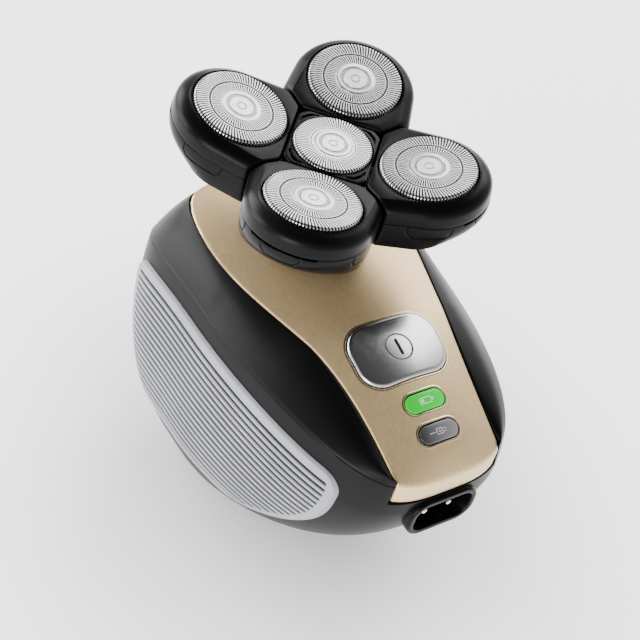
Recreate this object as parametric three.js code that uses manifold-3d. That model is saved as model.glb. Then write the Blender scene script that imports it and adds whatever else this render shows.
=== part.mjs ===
// Palm-held rotary head shaver: an egg-shaped handset and a lift-off head with five rotary cutters.
// The centre cutter is level, and four petals around it tilt inwards. Millimetres, +Z up, front is -Y.
// The model is laid out from the centre of the middle cutter's cap and then lifted onto its foot.
import * as THREE from "three";
import { mergeVertices } from "three/addons/utils/BufferGeometryUtils.js";
import Module from "manifold-3d";

const wasm = await Module();
wasm.setup();

// ---- Driving dimensions ----
const HEAD_HEIGHT = 101.2; // middle cap's face above the foot
const HEAD_OFFSET_Y = 20.6; // middle cap's axis behind the centre of the footprint
const GAP = 0.3; // running and assembly gap between neighbours

// Head
const CAP_RADIUS = 12; // outer caps
const CENTRE_CAP_RADIUS = 9.94;
const PETAL_REACH = 23.7; // head axis to an outer cap's axis
const PETAL_LIFT = 2.35; // outer caps' centres above the middle cap
const PETAL_TILT = THREE.MathUtils.degToRad(9.55); // outer caps lean in towards the middle
const PETAL_RADIUS = 16; // petal's outer end
const PETAL_CORNER = 24.1; // head axis to the corner where two petals' sides meet
const PETAL_DEPTH = 14;
const PETAL_SEAM = -6.6; // parting line between a petal's cover and its base
const FLANK_GAP = 0.4; // each petal's side to the plane between two petals
const HOLDER_FLAT = 10.55; // head axis to the middle holder's long sides
const HOLDER_CORNER = 13.4; // head axis to its short sides
const WALL = 1.2;

// Gear train: one middle gear meshes with the four petal gears
const GEAR_TEETH = 20;
const GEAR_LEVEL = -8.7; // gears' mid plane below an outer cap
const GEAR_THICK = 2.4;
const BACKLASH = 0.45;

// Handset
const HALF_WIDTH = 33; // at the edge between the top shell and the lower shell
const FRONT_REACH = 63.4; // widest section forward to the nose
const BACK_REACH = 40.8; // widest section back to the tail
const MID_Y = -10; // widest section, from the head axis
const EDGE_Z = -39.3; // edge height at the widest section
const SWELL = 2.3; // lower shell's bulge below the edge
const SWELL_DEPTH = 13.8;
const BELLY_DEPTH = 50.6;
const FOOT_FRACTION = 0.95; // where the belly is cut flat for its foot
const SHELL_WALL = 2.6;
const PANEL_EDGE_Z = -30.8;
const PANEL_THICK = 1.3;
const SHOULDER_BULGE = 1.2; // top shell's shoulder, out of the straight slope
const PANEL_LIP = -49; // lower edge of the panel's nose
const LIP_HALF_WIDTH = 15.3;
const GRIP_THICK = 0.7;
const GRIP_STAND = 0.55; // clear of the shell, whose facets lie a little inside its curve

// ---- Finishes ----
const finish = (color, roughness, metalness = 0) =>
  new THREE.MeshStandardMaterial({ color, roughness, metalness });
const blackPlastic = finish(0x1b1b1d, 0.42);
const gold = finish(0xc9b08a, 0.35, 0.8);
const greyRubber = finish(0x9a9ba2, 0.7);
const steel = finish(0xd4d5d8, 0.25, 1);
const brass = finish(0xc2a25a, 0.35, 1);
const nylon = finish(0xe7e3d6, 0.5);
const boardGreen = finish(0x1f5a36, 0.5);
const cellWrap = finish(0x2d5f9a, 0.45);
const greenLens = finish(0x2fd45a, 0.2);
const smokeLens = finish(0x6a6b6e, 0.2);
const blackRubber = finish(0x161617, 0.8);

// ---- Making and joining solids ----
const root = new THREE.Group();
root.position.set(0, HEAD_OFFSET_Y, HEAD_HEIGHT);

function solid(geometry) {
  const bare = geometry.clone();
  bare.deleteAttribute("normal");
  bare.deleteAttribute("uv");
  const merged = mergeVertices(bare, 1e-4);
  return new wasm.Manifold(
    new wasm.Mesh({
      numProp: 3,
      vertProperties: merged.attributes.position.array,
      triVerts: new Uint32Array(merged.index.array),
    }),
  );
}

function surface(manifold) {
  const { vertProperties, triVerts } = manifold.getMesh();
  const geometry = new THREE.BufferGeometry();
  geometry.setAttribute("position", new THREE.BufferAttribute(vertProperties, 3));
  geometry.setIndex(new THREE.BufferAttribute(triVerts, 1));
  return geometry;
}

function add(name, geometry, material, parent = root) {
  const mesh = new THREE.Mesh(geometry, material);
  mesh.name = name;
  parent.add(mesh);
  return mesh;
}

// A closed skin from loops of [x, y, z] points, all of one length, ordered anticlockwise seen
// against the direction in which the loops follow each other. Both ends close on a point.
function skin(loops) {
  const n = loops[0].length;
  const points = loops.flat();
  const faces = [];
  const middle = (loop) => [0, 1, 2].map((k) => loop.reduce((sum, p) => sum + p[k], 0) / n);
  const first = points.push(middle(loops[0])) - 1;
  const last = points.push(middle(loops.at(-1))) - 1;
  const base = (loops.length - 1) * n;
  for (let i = 0; i < n; i++) {
    const j = (i + 1) % n;
    faces.push(first, j, i, last, base + i, base + j);
    for (let r = 0; r < base; r += n) faces.push(r + i, r + j, r + n + j, r + i, r + n + j, r + n + i);
  }
  const geometry = new THREE.BufferGeometry();
  geometry.setAttribute("position", new THREE.Float32BufferAttribute(points.flat(), 3));
  geometry.setIndex(faces);
  return geometry;
}

// A closed plate between an outer and an inner sheet of points, both given as rows.
function plate(outer, inner) {
  const rows = outer.length;
  const cols = outer[0].length;
  const points = [...outer.flat(), ...inner.flat()];
  const half = rows * cols;
  const faces = [];
  const quad = (a, b, c, d) => faces.push(a, b, c, a, c, d);
  for (let r = 0; r < rows - 1; r++)
    for (let c = 0; c < cols - 1; c++) {
      const i = r * cols + c;
      quad(i, i + 1, i + cols + 1, i + cols);
      quad(half + i, half + i + cols, half + i + cols + 1, half + i + 1);
    }
  for (let c = 0; c < cols - 1; c++) {
    const i = (rows - 1) * cols + c;
    quad(c + 1, c, half + c, half + c + 1);
    quad(i, i + 1, half + i + 1, half + i);
  }
  for (let r = 0; r < rows - 1; r++) {
    const i = r * cols;
    const j = i + cols - 1;
    quad(i, i + cols, half + i + cols, half + i);
    quad(j + cols, j, half + j, half + j + cols);
  }
  const geometry = new THREE.BufferGeometry();
  geometry.setAttribute("position", new THREE.Float32BufferAttribute(points.flat(), 3));
  geometry.setIndex(faces);
  return geometry;
}

// A turned solid about Z from [radius, z] points, walked anticlockwise in the r-z plane.
function turned(profile, segments = 32) {
  const points = profile.map(([r, z]) => new THREE.Vector2(r, z));
  return new THREE.LatheGeometry(points, segments).rotateX(Math.PI / 2);
}

const ringProfile = (inner, outer, low, high) => [
  [inner, low],
  [outer, low],
  [outer, high],
  [inner, high],
  [inner, low],
];
const ring = (inner, outer, low, high, segments) =>
  turned(ringProfile(inner, outer, low, high), segments);
const rod = (radius, low, high, segments = 16) =>
  turned([[0, low], [radius, low], [radius, high], [0, high]], segments);

function box(width, length, height, x = 0, y = 0, z = 0) {
  return new THREE.BoxGeometry(width, length, height).translate(x, y, z);
}

const range = (n) => Array.from({ length: n }, (_, i) => i);
const steps = (from, to, n) => range(n + 1).map((i) => from + ((to - from) * i) / n);
const power = (value, exponent) => Math.sign(value) * Math.abs(value) ** exponent;

// ---- Handset: the edge where the top shell meets the lower shell ----
// The plan is a superellipse, pointed softly at the nose and boxy at the tail.
const NOSE = { x: 3.4, y: 1.85 };
const TAIL = 5.2;
const PANEL_TAIL = 10;

function edgeUnit(angle, tail = TAIL) {
  const [c, s] = [Math.cos(angle), Math.sin(angle)];
  return s < 0
    ? [power(c, 2 / NOSE.x), power(s, 2 / NOSE.y)]
    : [power(c, 2 / tail), power(s, 2 / tail)];
}


const noseY = (x) =>
  MID_Y - FRONT_REACH * (1 - Math.abs(x / HALF_WIDTH) ** NOSE.x) ** (1 / NOSE.y);

// A point on the edge, moved in by inset in plan.
function edgePoint(angle, inset = 0) {
  const [ux, uy] = edgeUnit(angle);
  const reach = uy < 0 ? FRONT_REACH : BACK_REACH;
  const z = uy < 0 ? EDGE_Z - 4.5 * (-uy) ** 3 : EDGE_Z - 8 * uy ** 3;
  return [ux * (HALF_WIDTH - inset), MID_Y + uy * (reach - inset), z];
}

// Lower shell's outer surface: the wall swells below the edge, then closes to the belly.
function wallPoint(angle, drop, inset = 0) {
  const [ux, uy] = edgeUnit(angle);
  const grown = 1 - (1 - drop) ** 2;
  const bulge = uy < 0 ? 0 : -2 * grown;
  const reach = (uy < 0 ? FRONT_REACH : BACK_REACH + bulge) - inset;
  const level = edgePoint(angle)[2] * (1 - drop) + (EDGE_Z - SWELL_DEPTH) * drop;
  return [ux * (HALF_WIDTH + SWELL * grown - inset), MID_Y + uy * reach, level];
}

function bellyPoint(angle, depth, inset = 0) {
  const [ux, uy] = edgeUnit(angle);
  const closing = (exponent) => (1 - depth ** exponent) ** (1 / exponent);
  const reach = uy < 0 ? (FRONT_REACH - inset) * closing(1.6) : (BACK_REACH - 2 - inset) * closing(1.85);
  const x = ux * (HALF_WIDTH + SWELL - inset) * closing(3.84);
  return [x, MID_Y + uy * reach, EDGE_Z - SWELL_DEPTH - (BELLY_DEPTH - inset) * depth];
}

// Angles round the handset, with one pair at each end of the panel's nose lip.
const lipAngle = (x) => Math.acos((x / HALF_WIDTH) ** (NOSE.x / 2));
const quarter = [
  ...steps(0, lipAngle(LIP_HALF_WIDTH + GAP), 6),
  ...steps(lipAngle(LIP_HALF_WIDTH + GAP / 3), Math.PI / 2, 3),
];
const roundAngles = [
  ...steps(0, Math.PI, 22),
  ...quarter.slice(1).map((a) => Math.PI + a),
  ...quarter.slice(1, -1).reverse().map((a) => -a),
];
const underLip = (angle) => Math.abs(edgePoint(angle)[0]) < LIP_HALF_WIDTH + GAP / 2 && Math.sin(angle) < 0;

// ---- Handset: panel outline and crown ----
const panelHalfWidth = (y) => 15.3 + 11.4 * Math.exp(-(((y - 1) / 35.6) ** 2));
const panelEdgeZ = (y) => PANEL_EDGE_Z - 0.0611 * Math.max(0, -33 - y) ** 1.45;
const PANEL_BACK = 33.2;

function crownZ(x, y) {
  const crown = 2.5 * (1 - Math.min(1, Math.max(0, (-y - 60) / 13.5)) ** 3);
  const across = Math.min(1, Math.abs(x) / panelHalfWidth(y));
  return panelEdgeZ(y) + crown * (1 - across ** 2);
}

// A point on the panel's outline, moved out by grow in plan.
function panelPoint(angle, grow = 0) {
  const [ux, uy] = edgeUnit(angle, PANEL_TAIL);
  const y = MID_Y + uy * ((uy < 0 ? FRONT_REACH - 0.5 : PANEL_BACK) + grow);
  const side = uy < 0 ? Math.sign(ux) : ux;
  const limit = Math.abs(edgePoint(angle)[0]) - 0.4;
  const x = Math.sign(ux) * Math.min(Math.abs(side) * (panelHalfWidth(y) + grow), uy < 0 ? limit : 99);
  return [x, y, panelEdgeZ(y)];
}

const between = (a, b, t) => a.map((value, k) => value + (b[k] - value) * t);
const lowered = ([x, y, z], drop) => [x, y, z - drop];

function lowerShell() {
  const lip = (angle, inset) => (underLip(angle) ? PANEL_LIP - GAP : edgePoint(angle)[2] - GAP / 2);
  const outer = [
    roundAngles.map((a) => [...edgePoint(a).slice(0, 2), lip(a)]),
    ...[0.45, 1].map((drop) => roundAngles.map((a) => wallPoint(a, drop))),
    ...[0.3, 0.55, 0.75, 0.88, FOOT_FRACTION].map((d) => roundAngles.map((a) => bellyPoint(a, d))),
  ];
  const inner = [
    ...[0.9, 0.75, 0.5, 0.25].map((d) => roundAngles.map((a) => bellyPoint(a, d, SHELL_WALL))),
    roundAngles.map((a) => wallPoint(a, 1, SHELL_WALL)),
    roundAngles.map((a) => [...edgePoint(a, SHELL_WALL).slice(0, 2), lip(a)]),
  ];
  return cup(outer, inner);
}

// A cup: outer loops from the rim to the floor, then inner loops from the floor back to the rim.
function cup(outer, inner) {
  const n = outer[0].length;
  const loops = [...outer, ...inner];
  const points = loops.flat();
  const faces = [];
  const centre = (loop) => [0, 1, 2].map((k) => loop.reduce((sum, p) => sum + p[k], 0) / n);
  const below = points.push(centre(outer.at(-1))) - 1;
  const floor = points.push(centre(inner[0])) - 1;
  const band = (from, to, i, j) => faces.push(from + j, from + i, to + i, from + j, to + i, to + j);
  for (let i = 0; i < n; i++) {
    const j = (i + 1) % n;
    for (let r = 0; r < loops.length - 1; r++)
      if (r !== outer.length - 1) band(r * n, (r + 1) * n, i, j);
    band((loops.length - 1) * n, 0, i, j);
    faces.push(below, (outer.length - 1) * n + j, (outer.length - 1) * n + i);
    faces.push(floor, outer.length * n + i, outer.length * n + j);
  }
  const geometry = new THREE.BufferGeometry();
  geometry.setAttribute("position", new THREE.Float32BufferAttribute(points.flat(), 3));
  geometry.setIndex(faces);
  return geometry;
}

// Top shell: a dome from the edge up the shoulders and over the crown. The panel's seat is cut in later.
function topShell() {
  const edge = roundAngles.map((a) => {
    const [x, y, z] = edgePoint(a);
    return [x, y, underLip(a) ? PANEL_LIP : z + GAP / 2];
  });
  const shoulder = (t) =>
    roundAngles.map((a) => {
      const [x, y, z] = between(edgePoint(a), panelPoint(a), t);
      return [x, y, underLip(a) ? crownZ(x, y) : z + SHOULDER_BULGE * Math.sin(Math.PI * t)];
    });
  const crown = (k) =>
    roundAngles.map((a) => {
      const [px, py] = panelPoint(a);
      const [x, y] = [px * k, MID_Y + (py - MID_Y) * k];
      return [x, y, crownZ(x, y)];
    });
  const under = (k) =>
    roundAngles.map((a) => {
      const [px, py] = edgePoint(a, 2 * SHELL_WALL);
      const [x, y] = [px * k, MID_Y + (py - MID_Y) * k];
      return [x, y, Math.min(crownZ(x, y), panelEdgeZ(y) + 2.2) - PANEL_THICK - 2.3 - 6 * k ** 4];
    });
  const rim = roundAngles.map((a) => {
    const [x, y, z] = edgePoint(a, underLip(a) ? 2 * SHELL_WALL : SHELL_WALL);
    return [x, y, underLip(a) ? PANEL_LIP : z + GAP / 2];
  });
  const outer = [edge, shoulder(0.5), shoulder(1), crown(0.6), crown(0.25)];
  const inner = [under(0.4), under(0.93), rim];
  const turnedOver = (loops) => loops.map((loop) => loop.reverse());
  return cup(turnedOver(outer), turnedOver(inner)); // its loops climb, so each runs the other way
}

// Panel: a thin crowned skin over the top shell, bent down over the nose as a lip.
function panelSheet(offset, grow = 0) {
  const across = steps(-1, 1, 8);
  const along = steps(0, 1, 10);
  const tail = MID_Y + PANEL_BACK + grow;
  const lipHalf = LIP_HALF_WIDTH + grow;
  const lip = across.map((t) => [t * lipHalf, noseY(t * lipHalf) + offset, PANEL_LIP - grow]);
  const rows = along.map((s) =>
    across.map((t) => {
      const nose = noseY(t * lipHalf) + offset;
      const y = nose + (tail - nose) * s;
      const corner = 1 - 0.12 * Math.max(0, (y - MID_Y) / PANEL_BACK) ** PANEL_TAIL;
      const x = t * (s === 0 ? lipHalf : panelHalfWidth(y) * corner + grow);
      return [x, y, crownZ(x, y) - offset];
    }),
  );
  return [lip, ...rows];
}

// Grip: a thin rubber pad that follows the lower shell's side.
function gripSheet(side, stand) {
  const rows = steps(0, 1, 7).map((t) =>
    steps(0, 1, 10).map((s) => {
      const angle = -1.02 + s * 1.72;
      const ends = Math.sqrt(Math.max(0, 1 - Math.abs(2 * s - 1) ** 3));
      const low = 0.18 + t * (0.1 + ends * 1.22);
      const point = low < 1 ? wallPoint(angle, low, -stand) : bellyPoint(angle, (low - 1) * 1.1, -stand);
      return [side * point[0], point[1], point[2]];
    }),
  );
  return side < 0 ? rows : rows.reverse();
}

const BUTTON = { y: -42.4, width: 25.3, length: 16.6, radius: 6.2, thick: 3 };
const LENSES = [
  { name: "battery_lens", y: -56.4, material: greenLens },
  { name: "charge_lens", y: -63.9, material: smokeLens },
];
const LENS = { width: 11.1, length: 4.6, thick: 1.6 };
const slopeAt = (y) => Math.atan2(crownZ(0, y + 1) - crownZ(0, y - 1), 2);

function roundedPlate(width, length, radius, thick) {
  const [w, l] = [width / 2 - radius, length / 2 - radius];
  const outline = new THREE.Shape();
  outline.absarc(w, l, radius, 0, Math.PI / 2);
  outline.absarc(-w, l, radius, Math.PI / 2, Math.PI);
  outline.absarc(-w, -l, radius, Math.PI, 1.5 * Math.PI);
  outline.absarc(w, -l, radius, 1.5 * Math.PI, 2 * Math.PI);
  outline.closePath();
  return new THREE.ExtrudeGeometry(outline, { depth: thick, bevelEnabled: false, curveSegments: 5 });
}

// A rounded plate laid on the panel's centre line at y; proud is its top above the panel there.
function onPanel(geometry, y, top) {
  return geometry.rotateX(slopeAt(y)).translate(0, y - top * Math.sin(slopeAt(y)), crownZ(0, y) + top);
}

function buildHandset() {
  const panelRoom = solid(plate(panelSheet(-2, GAP), panelSheet(PANEL_THICK + GAP, GAP)));
  const lower = solid(lowerShell()).subtract(solid(inletBlock(GAP))).subtract(panelRoom);
  add("lower_shell", surface(lower), blackPlastic);
  const cut = (shape, y, low) => solid(onPanel(shape, y, low));
  const buttonHole = cut(roundedPlate(BUTTON.width + 0.8, BUTTON.length + 0.8, BUTTON.radius + 0.4, 12), BUTTON.y, -8);
  const lensHoles = LENSES.map(({ y }) =>
    cut(roundedPlate(LENS.width + 0.4, LENS.length + 0.4, LENS.length / 2 + 0.18, 10), y, -6));
  const collarHole = solid(rod(NECK.radius + GAP, -60, 0, 24));
  let panel = solid(plate(panelSheet(0), panelSheet(PANEL_THICK)));
  let dome = solid(topShell()).subtract(panelRoom);
  for (const hole of [buttonHole, ...lensHoles, collarHole]) {
    panel = panel.subtract(hole);
    dome = dome.subtract(hole);
  }
  add("front_panel", surface(panel), gold);
  add("top_shell", surface(dome), blackPlastic);
  for (const [name, side] of [["grip_left", -1], ["grip_right", 1]])
    add(name, plate(gripSheet(side, GRIP_STAND + GRIP_THICK), gripSheet(side, GRIP_STAND)), greyRubber);
  add("power_button", onPanel(roundedPlate(BUTTON.width, BUTTON.length, BUTTON.radius, BUTTON.thick),
    BUTTON.y, 0.7 - BUTTON.thick), steel);
  for (const { name, y, material } of LENSES)
    add(name, onPanel(roundedPlate(LENS.width, LENS.length, LENS.length / 2 - 0.02, LENS.thick),
      y, 0.15 - LENS.thick), material);
}

// ---- Handset: charging inlet under the nose, neck, drive and electrics ----
const INLET = { front: -74.5, back: -62, width: 20.2, height: 12.2, radius: 3.8, z: -56.2, wall: 1.7, recess: 8.5 };
const PIN = { x: 3.7, radius: 0.85, tip: -72.4, back: -60, z: -57.1 };
const NECK = { radius: 13, flange: 16.5, bore: 10.6, low: -37, seat: -27.9, top: -26.1 };
const SPINDLE = { radius: 2.2, low: -46.6, top: -14 };
const MOTOR = { y: 11.2, radius: 10, low: -70, top: -50 };
const REDUCTION = { pinion: 8, gear: 24, level: -44, thick: 3.5 };
const CELL = { radius: 9, length: 50, y: -19, z: -80 };
const BOARD = { width: 24, length: 30, y: -43, drop: 11.5, thick: 1.6 };

function facingFront(geometry) {
  return geometry.rotateX(Math.PI / 2); // an extrusion's depth then runs towards the front
}

function inletBlock(grow) {
  const shape = roundedPlate(INLET.width + 2 * grow, INLET.height + 2 * grow, INLET.radius + grow,
    INLET.back - INLET.front);
  return facingFront(shape).translate(0, INLET.back, INLET.z);
}

function buildInlet() {
  const recess = facingFront(roundedPlate(INLET.width - 2 * INLET.wall, INLET.height - 2 * INLET.wall,
    INLET.radius - INLET.wall + 0.4, INLET.recess)).translate(0, INLET.front + INLET.recess - 0.01, INLET.z);
  let housing = solid(inletBlock(0)).subtract(solid(recess.translate(0, -0.02, 0)));
  for (const side of [-1, 1])
    housing = housing.subtract(solid(pinRod(PIN.radius + GAP, 4).translate(side * PIN.x, 0, PIN.z)));
  add("inlet_housing", surface(housing), blackPlastic);
  for (const [name, side] of [["charge_pin_left", -1], ["charge_pin_right", 1]])
    add(name, pinRod(PIN.radius, 0).translate(side * PIN.x, 0, PIN.z), steel);
}

const pinRod = (radius, extra) =>
  rod(radius, PIN.tip - extra, PIN.back + extra, 12).rotateX(-Math.PI / 2);

// Spur gear outline: each tooth is a trapezium inside the involute form.
function gearShape(teeth, module, bore, backlash = BACKLASH) {
  const pitch = (teeth * module) / 2;
  const tip = pitch + 0.8 * module;
  const root = pitch - 1.05 * module;
  const pressure = THREE.MathUtils.degToRad(20);
  const involute = (angle) => Math.tan(angle) - angle;
  const base = pitch * Math.cos(pressure);
  const half = (radius) =>
    Math.PI / (2 * teeth) - backlash / (2 * pitch) + involute(pressure) -
    (radius > base ? involute(Math.acos(base / radius)) : 0);
  const outline = new THREE.Shape(range(teeth).flatMap((k) => {
    const middle = (2 * Math.PI * k) / teeth;
    return [[root, -half(root)], [tip, -half(tip)], [tip, half(tip)], [root, half(root)]].map(
      ([radius, turn]) => new THREE.Vector2(radius * Math.cos(middle + turn), radius * Math.sin(middle + turn)));
  }));
  if (bore) outline.holes.push(new THREE.Path().absarc(0, 0, bore, 0, 2 * Math.PI));
  return outline;
}

function gearDisc(teeth, module, bore, thick, middle) {
  const options = { depth: thick, bevelEnabled: false, curveSegments: 6 };
  return new THREE.ExtrudeGeometry(gearShape(teeth, module, bore), options).translate(0, 0, middle - thick / 2);
}

function buildDrive() {
  const module = (2 * MOTOR.y) / (REDUCTION.pinion + REDUCTION.gear);
  const { level, thick } = REDUCTION;
  const collar = turned([[NECK.bore, NECK.low], [NECK.radius, NECK.low], [NECK.radius, NECK.seat],
    [NECK.flange, NECK.seat], [NECK.flange, NECK.top], [NECK.bore, NECK.top], [NECK.bore, NECK.low]], 24);
  add("neck_collar", collar, blackPlastic);
  add("neck_seal", ring(11.4, 13.4, NECK.top + GAP, NECK.top + 1.3, 24), blackRubber);
  add("drive_spindle", rod(SPINDLE.radius, SPINDLE.low, SPINDLE.top, 6), steel);
  add("reduction_gear", gearDisc(REDUCTION.gear, module, SPINDLE.radius + 0.3, thick, level), nylon);
  add("spindle_bearing", ring(SPINDLE.radius + 0.3, 6, -41.2, -38.2, 20), brass);
  const pinion = gearDisc(REDUCTION.pinion, module, 1.3, thick + 1, level).rotateZ(Math.PI / REDUCTION.pinion / 2);
  add("motor_pinion", pinion.rotateZ(pinionPhase).translate(0, MOTOR.y, 0), brass);
  add("motor", motorCan().translate(0, MOTOR.y, 0), steel);
  const screws = [-7.5, 7.5];
  let frame = solid(box(32, 42, 2.2, 0, 0, MOTOR.top + 1.5))
    .subtract(solid(rod(3.6, -70, 0).translate(0, MOTOR.y, 0)));
  for (const x of screws) frame = frame.subtract(solid(rod(1.4, -70, 0, 10).translate(x, MOTOR.y, 0)));
  add("motor_frame", surface(frame), blackPlastic);
  screws.forEach((x, i) => {
    const screw = turned([[0, MOTOR.top + 0.2], [1.1, MOTOR.top + 0.2], [1.1, MOTOR.top + 2.9],
      [2.2, MOTOR.top + 2.9], [2, MOTOR.top + 4], [0, MOTOR.top + 4]], 10);
    add("motor_screw_" + (i + 1), screw.translate(x, MOTOR.y, 0), steel);
  });
}
const pinionPhase = Math.PI / 2 + Math.PI / REDUCTION.pinion / 2;

function motorCan() {
  return turned([[0, MOTOR.low], [MOTOR.radius, MOTOR.low], [MOTOR.radius, MOTOR.top - 1], [MOTOR.radius - 1, MOTOR.top],
    [3.2, MOTOR.top], [3.2, MOTOR.top + 1.4], [1, MOTOR.top + 1.4], [1, REDUCTION.level + 2.2], [0, REDUCTION.level + 2.2]], 20);
}

function buildElectrics() {
  const tilt = slopeAt(BOARD.y);
  const board = box(BOARD.width, BOARD.length, BOARD.thick).rotateX(tilt)
    .translate(0, BOARD.y, crownZ(0, BOARD.y) - BOARD.drop);
  add("control_board", board, boardGreen);
  const tact = box(6, 6, 6.4).rotateX(slopeAt(BUTTON.y))
    .translate(0, BUTTON.y - 1.6, crownZ(0, BUTTON.y) - 7.3);
  add("button_switch", tact, blackPlastic);
  const cell = rod(CELL.radius, -CELL.length / 2, CELL.length / 2, 24).rotateY(Math.PI / 2);
  add("battery_cell", cell.translate(0, CELL.y, CELL.z), cellWrap);
  const cradle = solid(box(40, 22, 9, 0, CELL.y, CELL.z - 6.5))
    .subtract(solid(rod(CELL.radius + GAP, -40, 40, 24).rotateY(Math.PI / 2).translate(0, CELL.y, CELL.z)));
  add("battery_cradle", surface(cradle), blackPlastic);
}

// ---- Head ----
const PETALS = [["rear_right", 1], ["rear_left", 3], ["front_left", 5], ["front_right", 7]].map(
  ([name, eighth]) => ({ name, azimuth: (eighth * Math.PI) / 4 }));
const [COS_TILT, SIN_TILT] = [Math.cos(PETAL_TILT), Math.sin(PETAL_TILT)];

// A petal's frame: origin at its cap's centre, +X outwards, +Z along the cap's axis.
function petalGroup(azimuth) {
  const turn = new THREE.Group();
  turn.rotation.z = azimuth;
  const tilt = new THREE.Group();
  tilt.position.set(PETAL_REACH, 0, PETAL_LIFT);
  tilt.rotation.y = -PETAL_TILT;
  turn.add(tilt);
  root.add(turn);
  return tilt;
}

// How far the petal's outline pulls in at a level: a rounded shoulder on top and a bowl below,
// deepest at the outer end (turn 0) and shallow at the sides.
function petalInset(level, turn) {
  const shoulder = 3 * Math.max(0, (level + 4.2) / 3.3) ** 2.4;
  const bowl = 6.6 * Math.max(0, (-6.8 - level) / 7.2) ** 2.6;
  return shoulder + bowl * (0.1 + 0.9 * Math.max(0, Math.cos(turn)) ** 1.3);
}

function petalLoop(level, inset = 0, inner = HOLDER_FLAT + GAP) {
  const sideGap = (FLANK_GAP + inset) * Math.SQRT2;
  const local = (reach, side) => [(reach - PETAL_REACH + level * SIN_TILT) / COS_TILT, side, level];
  const corner = PETAL_CORNER - petalInset(level, Math.PI / 2) * 0.8 - inset;
  const reach = corner / Math.SQRT2 + FLANK_GAP / Math.SQRT2;
  const arc = steps(-82.8, 82.8, 11).map((degrees) => {
    const turn = THREE.MathUtils.degToRad(degrees);
    const radius = PETAL_RADIUS - petalInset(level, turn) - inset;
    return [radius * Math.cos(turn), radius * Math.sin(turn), level];
  });
  const half = [[reach, reach - sideGap], [inner + 0.2, inner + 0.2 - sideGap], [inner, inner - 2.6]];
  return [...arc, ...half.map(([r, side]) => local(r, side)), ...half.reverse().map(([r, side]) => local(r, -side))];
}

function capShell(radius, top = 0) {
  const [skirt, sheet] = [4.6, 0.45];
  return turned([[radius - sheet, top - skirt], [radius, top - skirt], [radius, top - 0.7], [radius - 0.7, top],
    [0, top], [0, top - sheet], [radius - sheet - 0.5, top - sheet], [radius - sheet, top - 1], [radius - sheet, top - skirt]], 24);
}

// Cutter: a thin disc with a hub below and a ring of small blades standing on its edge.
function cutter(radius, blades = 6) {
  let body = solid(turned([[0, -3.3], [3.6, -3.3], [3.6, -3], [radius, -3], [radius, -2.5], [0, -2.5]], 18));
  body = body.subtract(solid(rod(2.4, -4, -2.9, 12)));
  const blade = solid(box(2.6, 0.6, 1.9, radius - 1.5, 0, -1.75));
  for (const k of range(blades)) body = body.add(blade.rotate([0, 0, (360 * k) / blades]));
  return surface(body);
}

function gearWithSpindle(low, high, radius = 2) {
  const disc = solid(gearDisc(GEAR_TEETH, GEAR_MODULE, 0, GEAR_THICK, GEAR_LEVEL));
  return surface(disc.add(solid(rod(radius, low, high, 14))));
}

// The two gears touch where the petal's tilted gear plane crosses the middle gear's plane.
const GEAR_AXIS_REACH = PETAL_REACH - GEAR_LEVEL * SIN_TILT;
const GEAR_PITCH = GEAR_AXIS_REACH / (1 + COS_TILT);
const GEAR_MODULE = (2 * GEAR_PITCH) / GEAR_TEETH;
const MESH_Z = PETAL_LIFT + GEAR_LEVEL * COS_TILT - GEAR_PITCH * SIN_TILT;

function buildPetal({ name, azimuth }) {
  const group = petalGroup(azimuth);
  const cover = solid(skin([PETAL_SEAM, -4.2, -2.4, -1.3, -0.9].map((n) => petalLoop(n))))
    .subtract(solid(rod(CAP_RADIUS + GAP, -5.2, 2, 32)))
    .subtract(solid(rod(10.9, -9, 0, 32)));
  add("petal_cover_" + name, surface(cover), blackPlastic, group);
  const base = solid(skin([-14, -13, -11.5, -9.8, PETAL_SEAM - GAP].map((n) => petalLoop(n))));
  const hollow = solid(skin([-12.8, -11.5, -9.8, -4].map((n) => petalLoop(n, WALL, HOLDER_FLAT - 3))));
  add("petal_base_" + name, surface(base.subtract(hollow)), blackPlastic, group);
  add("cap_" + name, capShell(CAP_RADIUS), steel, group);
  add("cutter_" + name, cutter(10.4), steel, group);
  const gear = gearWithSpindle(-12.4, -3.2);
  add("petal_gear_" + name, gear.rotateZ(Math.PI / GEAR_TEETH), nylon, group);
}

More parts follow.
